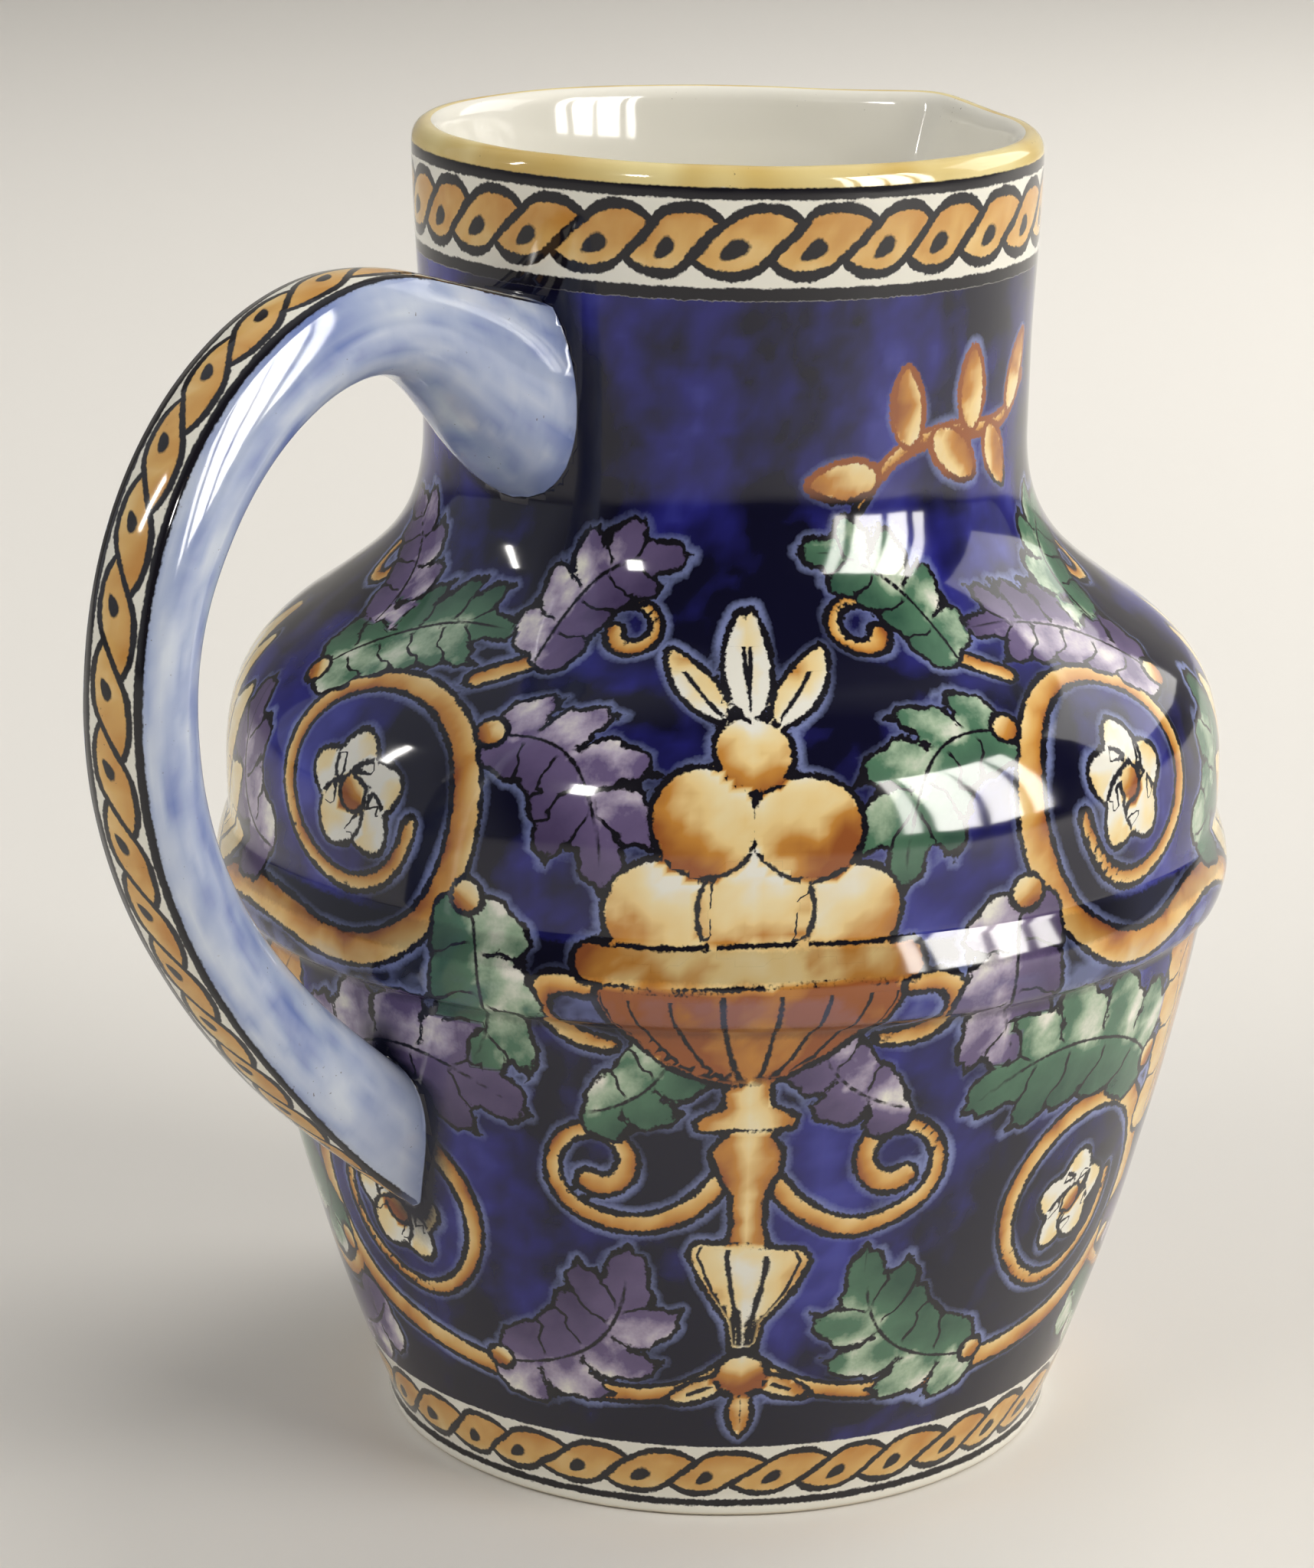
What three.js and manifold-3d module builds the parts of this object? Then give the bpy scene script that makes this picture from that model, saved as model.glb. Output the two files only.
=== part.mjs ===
// Glazed earthenware cream jug: a hollow pot with a moulded ridge, a short neck,
// a small pulled lip and one strap handle, all thrown, joined and fired as a single piece.
// Millimetres, +Z up. The origin is on the pot's axis, in the plane that it stands on.
// The handle is at -X and the pouring lip at +X.

import * as THREE from 'three';
import { mergeVertices } from 'three/addons/utils/BufferGeometryUtils.js';
import Module from 'manifold-3d';

const wasm = await Module();
wasm.setup();

// Outside of the pot: radii from the axis, and rises stacked from the table up to the rim
const footRadius = 31.4;
const footRise = 1.9;
const footRounding = 0.9;
const lowerRise = 48.4;
const ridgeRise = 8.1;
const ridgeCrestRise = 3.8;
const ridgeProud = 1.2;
const ridgeSetBack = 0.7;
const bellyRadius = 45.4;
const bellyRise = 19.1;
const shoulderIn = 8.4;
const sweepRise = 16.5;
const neckRadius = 27.2;
const neckRise = 26;
const rimRadius = 28;

// Thickness of the clay
const wall = 3.2;
const floorThickness = 4.5;
const floorCorner = 9;
const lipThickness = 2.7;
const lipRounding = 1.7;

// Pouring lip, drawn out of the rim by a finger
const lipHalfAngle = THREE.MathUtils.degToRad(23);
const lipTipSoftness = THREE.MathUtils.degToRad(5);
const lipRise = 0.4;
const lipDepth = 17;

// The rim is not quite level: it rises towards +Y by this much for each millimetre
const rimSlope = 0.019;

// Handle: drops below the rim or the ridge, and distances out from the pot
const handleRootDrop = 22;
const handleTopDrop = 12.7;
const handleTopOut = 17.8;
const handleGripDrop = 41;
const fingerGap = 20.3;
const handleHeelDrop = 18.5;
const handleHeelDepth = 5;

// Handle section: thickness is measured away from the pot, width across the strap
const gripThickness = 6.8;
const archThickness = 8.4;
const heelThickness = 9;
const rootThickness = 17;
const strapWidth = 9.2;
const rootWidth = 13.2;
const faceShare = 0.39;

// Fineness of the facets
const roundSides = 60;
const handleSteps = 36;
const handleCurveSides = 6;

const { smoothstep, lerp, mapLinear } = THREE.MathUtils;

// Levels above the table where one stretch of the outside line ends and the next begins
const ridgeLevel = footRise + lowerRise;
const bellyLevel = ridgeLevel + ridgeRise;
const shoulderLevel = bellyLevel + bellyRise;
const neckLevel = shoulderLevel + sweepRise;
const rimLevel = neckLevel + neckRise;

// The outside line from the top of the foot to the root of the lip, with or without the ridge
function outsideLine(withRidge) {
  const line = new THREE.Path();
  const underRidge = bellyRadius - ridgeSetBack;
  line.moveTo(footRadius, footRise);
  line.bezierCurveTo(
    lerp(footRadius, underRidge, 0.37), footRise + 0.24 * lowerRise,
    lerp(footRadius, underRidge, 0.8), footRise + 0.67 * lowerRise,
    underRidge, ridgeLevel,
  );
  if (withRidge) {
    drawRidge(line, underRidge);
  } else {
    line.lineTo(bellyRadius, bellyLevel);
  }
  drawShoulder(line);
  const lipLevel = rimLevel - lipRounding;
  line.bezierCurveTo(
    neckRadius, lerp(neckLevel, lipLevel, 0.45),
    rimRadius, lerp(neckLevel, lipLevel, 0.7),
    rimRadius, lipLevel,
  );
  return line;
}

// The ridge: a sharp ledge below, a round crest and a soft hollow above
function drawRidge(line, underRidge) {
  const crest = bellyRadius + ridgeProud;
  const crestLevel = ridgeLevel + ridgeCrestRise;
  const ledgeLevel = ridgeLevel + 0.25 * ridgeCrestRise;
  line.lineTo(lerp(underRidge, crest, 0.65), ledgeLevel);
  line.quadraticCurveTo(crest, lerp(ledgeLevel, crestLevel, 0.5), crest, crestLevel);
  line.quadraticCurveTo(
    lerp(bellyRadius, crest, 0.88), lerp(crestLevel, bellyLevel, 0.45), bellyRadius, bellyLevel,
  );
}

// The belly rounds over into the shoulder, which sweeps up into the neck
function drawShoulder(line) {
  const shoulderRadius = bellyRadius - shoulderIn;
  line.bezierCurveTo(
    bellyRadius + 0.07 * shoulderIn, bellyLevel + 0.53 * bellyRise,
    bellyRadius - 0.1 * shoulderIn, bellyLevel + 0.75 * bellyRise,
    shoulderRadius, shoulderLevel,
  );
  line.bezierCurveTo(
    lerp(shoulderRadius, neckRadius, 0.63), shoulderLevel + 0.27 * sweepRise,
    lerp(shoulderRadius, neckRadius, 1.02), shoulderLevel + 0.43 * sweepRise,
    neckRadius, neckLevel,
  );
}

// Radius of the outside, without the ridge, at a height above the table
function outsideRadiusAt(height) {
  const points = outsideLine(false).getPoints(24);
  const above = points.findIndex((point) => point.y >= height);
  const low = points[above - 1];
  const high = points[above];
  return mapLinear(height, low.y, high.y, low.x, high.x);
}

// Points of a line moved towards the axis, square to the line, by a depth
function insetPoints(line, depth, divisions) {
  return Array.from({ length: divisions + 1 }, (_, i) => {
    const point = line.getPointAt(i / divisions);
    const along = line.getTangentAt(i / divisions);
    return new THREE.Vector2(point.x - along.y * depth, point.y + along.x * depth);
  });
}

// The rounded lip, from the outside of the wall over its crest to the inside
function lipPoints() {
  const halfLip = lipThickness / 2;
  const arc = new THREE.Path();
  arc.absellipse(rimRadius - halfLip, rimLevel - lipRounding, halfLip, lipRounding, 0, Math.PI, false, 0);
  return arc.getPoints(5);
}

// The inside of the pot, from under the lip down to the middle of the floor
function insidePoints() {
  const innerWall = insetPoints(outsideLine(false), wall, 15).reverse();
  const cornerTop = floorThickness + floorCorner;
  const side = innerWall.filter((point) => point.y > cornerTop && point.y < rimLevel - 2 * lipRounding);
  const last = side[side.length - 1];
  const corner = new THREE.QuadraticBezierCurve(
    last,
    new THREE.Vector2(last.x - 0.35 * floorCorner, floorThickness),
    new THREE.Vector2(last.x - 1.5 * floorCorner, floorThickness),
  );
  return [...side, ...corner.getPoints(4).slice(1), new THREE.Vector2(0, floorThickness)];
}

// The whole section of the pot's wall, from the middle of the base round to the middle of the floor
function potProfile() {
  const foot = new THREE.Path();
  foot.moveTo(0, 0);
  foot.lineTo(footRadius - footRounding, 0);
  foot.quadraticCurveTo(footRadius, 0, footRadius, footRounding);
  const outside = outsideLine(true).getPoints(6);
  return [...foot.getPoints(3), ...outside, ...lipPoints().slice(1), ...insidePoints()];
}

// A profile of radius and height turned about +Z
function turned(profile) {
  const geometry = new THREE.LatheGeometry(profile, roundSides);
  geometry.rotateX(Math.PI / 2);
  return geometry;
}

// Outward pull of the lip, from 0 on the plain rim to 1 at its tip
function lipPull(angle) {
  const fromTip = Math.hypot(angle, lipTipSoftness) - lipTipSoftness;
  const turn = Math.max(0, lipHalfAngle - fromTip);
  return (1 / Math.cos(turn) - 1) / (1 / Math.cos(lipHalfAngle) - 1);
}

// Draws the lip out of the rim and sets the rim at its slight slope
function shapeRim(geometry) {
  const position = geometry.attributes.position;
  const tipReach = rimRadius * (1 / Math.cos(lipHalfAngle) - 1);
  for (let i = 0; i < position.count; i += 1) {
    const x = position.getX(i);
    const y = position.getY(i);
    const z = position.getZ(i);
    const radius = Math.hypot(x, y);
    const nearRim = radius > neckRadius / 2 ? smoothstep(z, rimLevel - lipDepth, rimLevel) : 0;
    const pull = lipPull(Math.atan2(y, x)) * nearRim ** 1.5;
    const scale = radius > 0 ? 1 + (tipReach * pull) / radius : 1;
    const slope = smoothstep(z, neckLevel, rimLevel - lipDepth / 2) * rimSlope * y;
    position.setXYZ(i, x * scale, y * scale, z + lipRise * pull + slope);
  }
  return geometry;
}

// The handle's middle line, from inside the neck over the arch to inside the lower wall
function handleLine() {
  const at = (reach, height) => new THREE.Vector3(-reach, 0, height);
  const rootLevel = rimLevel - handleRootDrop;
  const topLevel = rimLevel - handleTopDrop;
  const gripLevel = rimLevel - handleGripDrop;
  const heelLevel = ridgeLevel - handleHeelDrop;
  const rootReach = outsideRadiusAt(rootLevel) - wall;
  const topReach = neckRadius + handleTopOut;
  const gripReach = bellyRadius + fingerGap + gripThickness / 2;
  const heelReach = outsideRadiusAt(heelLevel) - handleHeelDepth;
  const line = new THREE.CurvePath();
  line.add(new THREE.CubicBezierCurve3(
    at(rootReach, rootLevel), at(lerp(rootReach, topReach, 0.32), lerp(rootLevel, topLevel, 0.3)),
    at(lerp(rootReach, topReach, 0.63), topLevel), at(topReach, topLevel),
  ));
  line.add(new THREE.CubicBezierCurve3(
    at(topReach, topLevel), at(lerp(topReach, gripReach, 0.46), topLevel),
    at(gripReach, lerp(topLevel, gripLevel, 0.42)), at(gripReach, gripLevel),
  ));
  line.add(new THREE.CubicBezierCurve3(
    at(gripReach, gripLevel), at(gripReach, lerp(gripLevel, heelLevel, 0.32)),
    at(lerp(gripReach, heelReach, 0.26), lerp(gripLevel, heelLevel, 0.61)), at(heelReach, heelLevel),
  ));
  return line;
}

// Thickness of the strap at a share of its length: thick at the root, the arch and the heel
function thicknessAt(share) {
  const arch = lerp(archThickness, gripThickness, smoothstep(share, 0.3, 0.5));
  const strap = lerp(arch, heelThickness, smoothstep(share, 0.62, 0.95));
  return lerp(rootThickness, strap, smoothstep(share, -0.02, 0.155));
}

// Width of the strap at a share of its length
function widthAt(share) {
  return lerp(rootWidth, strapWidth, smoothstep(share, 0, 0.16));
}

// How far the outer face narrows where the strap runs out onto the pot
function faceNarrowing(share) {
  return 0.72 * smoothstep(share, 0.8, 0.99);
}

// Section of the strap in shares of thickness (x, outer face at 0.5) and width (y)
function strapSection() {
  const section = new THREE.Shape();
  section.moveTo(0.5, -faceShare);
  section.quadraticCurveTo(0.54, 0, 0.5, faceShare);
  section.bezierCurveTo(0.2, 0.58, -0.5, 0.64, -0.5, 0);
  section.bezierCurveTo(-0.5, -0.64, 0.2, -0.58, 0.5, -faceShare);
  return section;
}

// A straight bar of unit length, bent along the handle's middle line
function handleGeometry() {
  const bar = new THREE.ExtrudeGeometry(strapSection(), {
    depth: 1, steps: handleSteps, curveSegments: handleCurveSides, bevelEnabled: false,
  });
  const line = handleLine();
  const position = bar.attributes.position;
  for (let i = 0; i < position.count; i += 1) {
    const share = THREE.MathUtils.clamp(position.getZ(i), 0, 1);
    const centre = line.getPointAt(share);
    const along = line.getTangentAt(share);
    const out = position.getX(i) * thicknessAt(share);
    const narrowing = 1 - faceNarrowing(share) * (position.getX(i) + 0.5);
    const across = position.getY(i) * widthAt(share) * narrowing;
    position.setXYZ(i, centre.x + along.z * out, across, centre.z - along.x * out);
  }
  return bar;
}

// A closed solid from a geometry, with its shared corners merged and its flat slivers dropped
function toSolid(geometry) {
  const bare = geometry.clone();
  bare.deleteAttribute('normal');
  bare.deleteAttribute('uv');
  const merged = mergeVertices(bare, 1e-4);
  const index = Array.from(merged.index.array);
  const corners = [];
  for (let i = 0; i < index.length; i += 3) {
    const [a, b, c] = index.slice(i, i + 3);
    if (a !== b && b !== c && c !== a) {
      corners.push(a, b, c);
    }
  }
  const solid = new wasm.Manifold(new wasm.Mesh({
    numProp: 3,
    vertProperties: new Float32Array(merged.attributes.position.array),
    triVerts: new Uint32Array(corners),
  }));
  return solid;
}

// The geometry of a solid, for drawing
function toGeometry(solid) {
  const mesh = solid.getMesh();
  const geometry = new THREE.BufferGeometry();
  geometry.setAttribute('position', new THREE.BufferAttribute(new Float32Array(mesh.vertProperties), 3));
  geometry.setIndex(new THREE.BufferAttribute(new Uint32Array(mesh.triVerts), 1));
  geometry.computeVertexNormals();
  return geometry;
}

// The pot without its handle
function potSolid() {
  return toSolid(shapeRim(turned(potProfile())));
}

// What lies inside the middle of the wall: it trims the handle so that it ends in the clay
function coreSolid() {
  const middle = insetPoints(outsideLine(false), wall / 2, 16);
  const base = new THREE.Vector2(0, middle[0].y);
  const top = new THREE.Vector2(0, middle[middle.length - 1].y);
  return toSolid(turned([base, ...middle, top]));
}

// The jug: the pot with its handle joined on
function jugGeometry() {
  const handle = toSolid(handleGeometry()).subtract(coreSolid());
  return toGeometry(potSolid().add(handle));
}

const glaze = new THREE.MeshStandardMaterial({ color: 0x25266d, roughness: 0.15, metalness: 0 });

const jug = new THREE.Mesh(jugGeometry(), glaze);
jug.name = 'jug';

const part = new THREE.Group();
part.add(jug);

export default part;
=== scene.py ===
"""Looks of a glazed earthenware cream jug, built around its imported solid.

The jug is one mesh: a turned pot with a moulded ridge, a small pulled lip and a strap
handle, joined into one skin. Its painting is made of curves drawn in this script. They are
kept on the mesh as distances in millimetres, and the glaze turns those into ink, fill and
halo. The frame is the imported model's: the pot's axis is +Z, the handle is at -X and the
pouring lip at +X. Sizes in the dataclasses are in millimetres unless they say otherwise.
"""

import logging
import math
from dataclasses import dataclass
from enum import Enum
from typing import Callable, Dict, List, Optional, Sequence, Tuple, Union

import bmesh
import bpy
import numpy as np
from mathutils import Matrix, Vector, noise

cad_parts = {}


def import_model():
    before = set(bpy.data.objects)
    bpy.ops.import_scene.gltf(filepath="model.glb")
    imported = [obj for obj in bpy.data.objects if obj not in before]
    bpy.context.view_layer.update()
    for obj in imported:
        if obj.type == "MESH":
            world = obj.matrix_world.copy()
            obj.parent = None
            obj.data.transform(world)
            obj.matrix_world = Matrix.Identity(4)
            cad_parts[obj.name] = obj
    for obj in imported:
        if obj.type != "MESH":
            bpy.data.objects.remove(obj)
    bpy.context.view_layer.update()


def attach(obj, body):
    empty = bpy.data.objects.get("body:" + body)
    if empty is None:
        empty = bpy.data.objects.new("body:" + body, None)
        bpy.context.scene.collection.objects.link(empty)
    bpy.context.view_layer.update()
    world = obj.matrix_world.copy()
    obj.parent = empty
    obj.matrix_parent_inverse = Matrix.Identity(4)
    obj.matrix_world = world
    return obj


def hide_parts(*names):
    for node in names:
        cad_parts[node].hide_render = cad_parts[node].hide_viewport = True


LOG = logging.getLogger("jug")

MM = 0.001
JUG_NODE = "jug"


@dataclass(frozen=True)
class PotSizes:
    """The pot's outside radii, stacked rises and wall."""

    foot_radius: float = 31.4
    foot_rise: float = 1.9
    foot_rounding: float = 0.9
    lower_rise: float = 48.4
    ridge_rise: float = 8.1
    ridge_crest_rise: float = 3.8
    ridge_proud: float = 1.2
    ridge_set_back: float = 0.7
    belly_radius: float = 45.4
    belly_rise: float = 19.1
    shoulder_in: float = 8.4
    sweep_rise: float = 16.5
    neck_radius: float = 27.2
    neck_rise: float = 26.0
    rim_radius: float = 28.0
    wall: float = 3.2
    floor_thickness: float = 4.5
    floor_corner: float = 9.0
    lip_thickness: float = 2.7
    lip_rounding: float = 1.7
    lip_half_angle: float = math.radians(23.0)
    lip_tip_softness: float = math.radians(5.0)
    lip_rise: float = 0.4
    lip_depth: float = 17.0
    rim_slope: float = 0.019

    @property
    def ridge_level(self) -> float:
        """Height of the ridge's lower edge."""
        return self.foot_rise + self.lower_rise

    @property
    def belly_level(self) -> float:
        """Height where the hollow over the ridge ends."""
        return self.ridge_level + self.ridge_rise

    @property
    def shoulder_level(self) -> float:
        """Height where the belly turns into the shoulder."""
        return self.belly_level + self.belly_rise

    @property
    def neck_level(self) -> float:
        """Height where the neck starts."""
        return self.shoulder_level + self.sweep_rise

    @property
    def rim_level(self) -> float:
        """Height of the plain rim."""
        return self.neck_level + self.neck_rise


@dataclass(frozen=True)
class HandleSizes:
    """The strap handle: drops below the rim or ridge, reaches and section."""

    root_drop: float = 22.0
    top_drop: float = 12.7
    top_out: float = 17.8
    grip_drop: float = 41.0
    finger_gap: float = 20.3
    heel_drop: float = 18.5
    heel_depth: float = 5.0
    grip_thickness: float = 6.8
    arch_thickness: float = 8.4
    heel_thickness: float = 9.0
    root_thickness: float = 17.0
    strap_width: float = 9.2
    root_width: float = 13.2
    face_share: float = 0.39


@dataclass(frozen=True)
class MeshDensity:
    """How finely the skin is divided."""

    turn_steps: int = 376
    painted_spacing: float = 0.72
    plain_spacing: float = 3.2
    handle_steps: int = 170
    section_curve_steps: int = 9
    core_steps: int = 120


@dataclass(frozen=True)
class BandSizes:
    """One rope band: how many strands, where it lies and how thick its lines are."""

    strands: int
    middle: float
    half_height: float
    line: float


@dataclass(frozen=True)
class PaintSizes:
    """Levels and line widths of the painting."""

    neck_band: BandSizes = BandSizes(28, 113.83, 2.85, 0.82)
    foot_band: BandSizes = BandSizes(35, 4.85, 2.42, 0.62)
    strap_pitch: float = 5.95
    strap_half_height: float = 2.2
    strap_line: float = 0.62
    lip_edge: float = 118.35
    neck_line_top: float = 118.5
    neck_line_low: float = 117.35
    blue_top: float = 108.9
    neck_low_line_top: float = 110.0
    foot_blue: float = 7.95
    foot_line_top: float = 1.8
    foot_line_low: float = 1.15
    border: float = 0.95
    ink: float = 0.27
    lobe_ink: float = 0.24
    lap_ink: float = 0.22
    rib_ink: float = 0.2
    vein_ink: float = 0.15
    unit_radius: float = 45.0


@dataclass(frozen=True)
class ShadeAndCrestSizes:
    """Painted shade, and the crest's thin glaze: half widths where each ends and where it is full.

    The ledge's painted shade and the crest are given above the ridge's lower edge, and the
    hollow's painted shade and dark reflection above its crest. The seam and the strap's seam are
    painted shade around the handle's join, on the pot and on the strap.
    """

    ledge_rise: float = 0.2
    ledge: Tuple[float, float] = (0.9, 0.4)
    crest_rise: float = 2.2
    crest: Tuple[float, float] = (1.6, 0.9)
    hollow_rise: float = 2.4
    hollow: Tuple[float, float] = (1.55, 1.15)
    seam: Tuple[float, float] = (3.2, 1.0)
    strap_seam: Tuple[float, float] = (2.4, 0.0)


@dataclass(frozen=True)
class CloudSizes:
    """Sizes of the uneven washes and of the swell that throwing left in the clay."""

    wash: float = 3.2
    drift: float = 8.0
    brush: float = 14.0
    brush_squash: float = 0.45
    swell: float = 9.0
    swell_height: float = 0.14


@dataclass(frozen=True)
class CameraSizes:
    """The photograph's viewpoint."""

    distance: float = 371.4
    height: float = 164.5
    turn: float = math.radians(-48.5)
    yaw: float = math.radians(-0.92)
    pitch: float = math.radians(15.85)
    roll: float = math.radians(0.31)
    lens: float = 95.8
    sensor: float = 36.0


class Hue(Enum):
    """The painter's colours, as sRGB."""

    COBALT = "#1b1a56"
    COBALT_DEEP = "#0c0b24"
    COBALT_BRIGHT = "#262579"
    COBALT_PALE = "#474cae"
    # Painted shade and painted dark reflection under the ridge and in its hollow.
    PAINTED_SHADE = "#09081a"
    HALO = "#8994c6"
    INK = "#17151c"
    OCHRE = "#c78a3e"
    OCHRE_LIGHT = "#efd192"
    OCHRE_DEEP = "#97562c"
    BAND_OCHRE = "#dfb168"
    CREAM = "#f2dfae"
    RIM_YELLOW = "#eddca0"
    RIM_DEEP = "#d6b76c"
    GREEN = "#52785f"
    GREEN_LIGHT = "#a8bda2"
    GREEN_DEEP = "#2f5142"
    PURPLE = "#6b5c82"
    PURPLE_LIGHT = "#b6aabf"
    PURPLE_DEEP = "#4a3d60"
    WHITE = "#efece0"
    INSIDE = "#f1eee5"
    HANDLE = "#abb7d4"
    HANDLE_DEEP = "#7384bb"
    HANDLE_PALE = "#cbd3e1"
    SPECK = "#5a4a3c"
    BISQUE = "#dcd2bf"
    FLOOR = "#e2dfda"
    LAMP = "#fffcf6"
    ROOM = "#eef0f4"


def linear(hue: Hue) -> Tuple[float, float, float, float]:
    """Turns an sRGB hex colour into linear RGBA.

    Args:
        hue: A named colour.

    Returns:
        Linear red, green, blue and an alpha of 1.
    """
    channels = [int(hue.value[i:i + 2], 16) / 255 for i in (1, 3, 5)]
    low = [c / 12.92 if c <= 0.04045 else ((c + 0.055) / 1.055) ** 2.4 for c in channels]
    return (low[0], low[1], low[2], 1.0)


def smoothstep(value: np.ndarray, low: float, high: float) -> np.ndarray:
    """Smooth step from 0 at low to 1 at high."""
    t = np.clip((np.asarray(value, float) - low) / (high - low), 0.0, 1.0)
    return t * t * (3 - 2 * t)


def lerp(a: float, b: float, t: float) -> float:
    """Mix of a and b, with t as the share of b."""
    return a + (b - a) * t


def bezier(points: Sequence[Sequence[float]], steps: int) -> np.ndarray:
    """Points along a quadratic or cubic Bezier curve.

    Args:
        points: Three or four control points.
        steps: Number of divisions.

    Returns:
        An array of steps + 1 points.
    """
    p = np.asarray(points, float)
    t = np.linspace(0, 1, steps + 1)[:, None]
    if len(p) == 3:
        return (1 - t) ** 2 * p[0] + 2 * t * (1 - t) * p[1] + t ** 2 * p[2]
    return (
        (1 - t) ** 3 * p[0] + 3 * t * (1 - t) ** 2 * p[1] + 3 * t ** 2 * (1 - t) * p[2] + t ** 3 * p[3]
    )


def lengths(points: np.ndarray) -> np.ndarray:
    """Running length along a line of points."""
    steps = np.linalg.norm(np.diff(points, axis=0), axis=1)
    return np.concatenate([[0.0], np.cumsum(steps)])


def spaced(points: np.ndarray, spacing: float) -> np.ndarray:
    """Evenly spaced points on a line, keeping both of its ends.

    Args:
        points: The line.
        spacing: The wanted distance between points.

    Returns:
        The new points.
    """
    run = lengths(points)
    count = max(1, int(math.ceil(run[-1] / spacing)))
    at = np.linspace(0, run[-1], count + 1)
    return np.stack([np.interp(at, run, points[:, k]) for k in range(points.shape[1])], axis=1)


def joined(parts: Sequence[np.ndarray]) -> np.ndarray:
    """One line from several, each of which starts where the one before ends."""
    return np.concatenate([parts[0]] + [part[1:] for part in parts[1:]])


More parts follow.
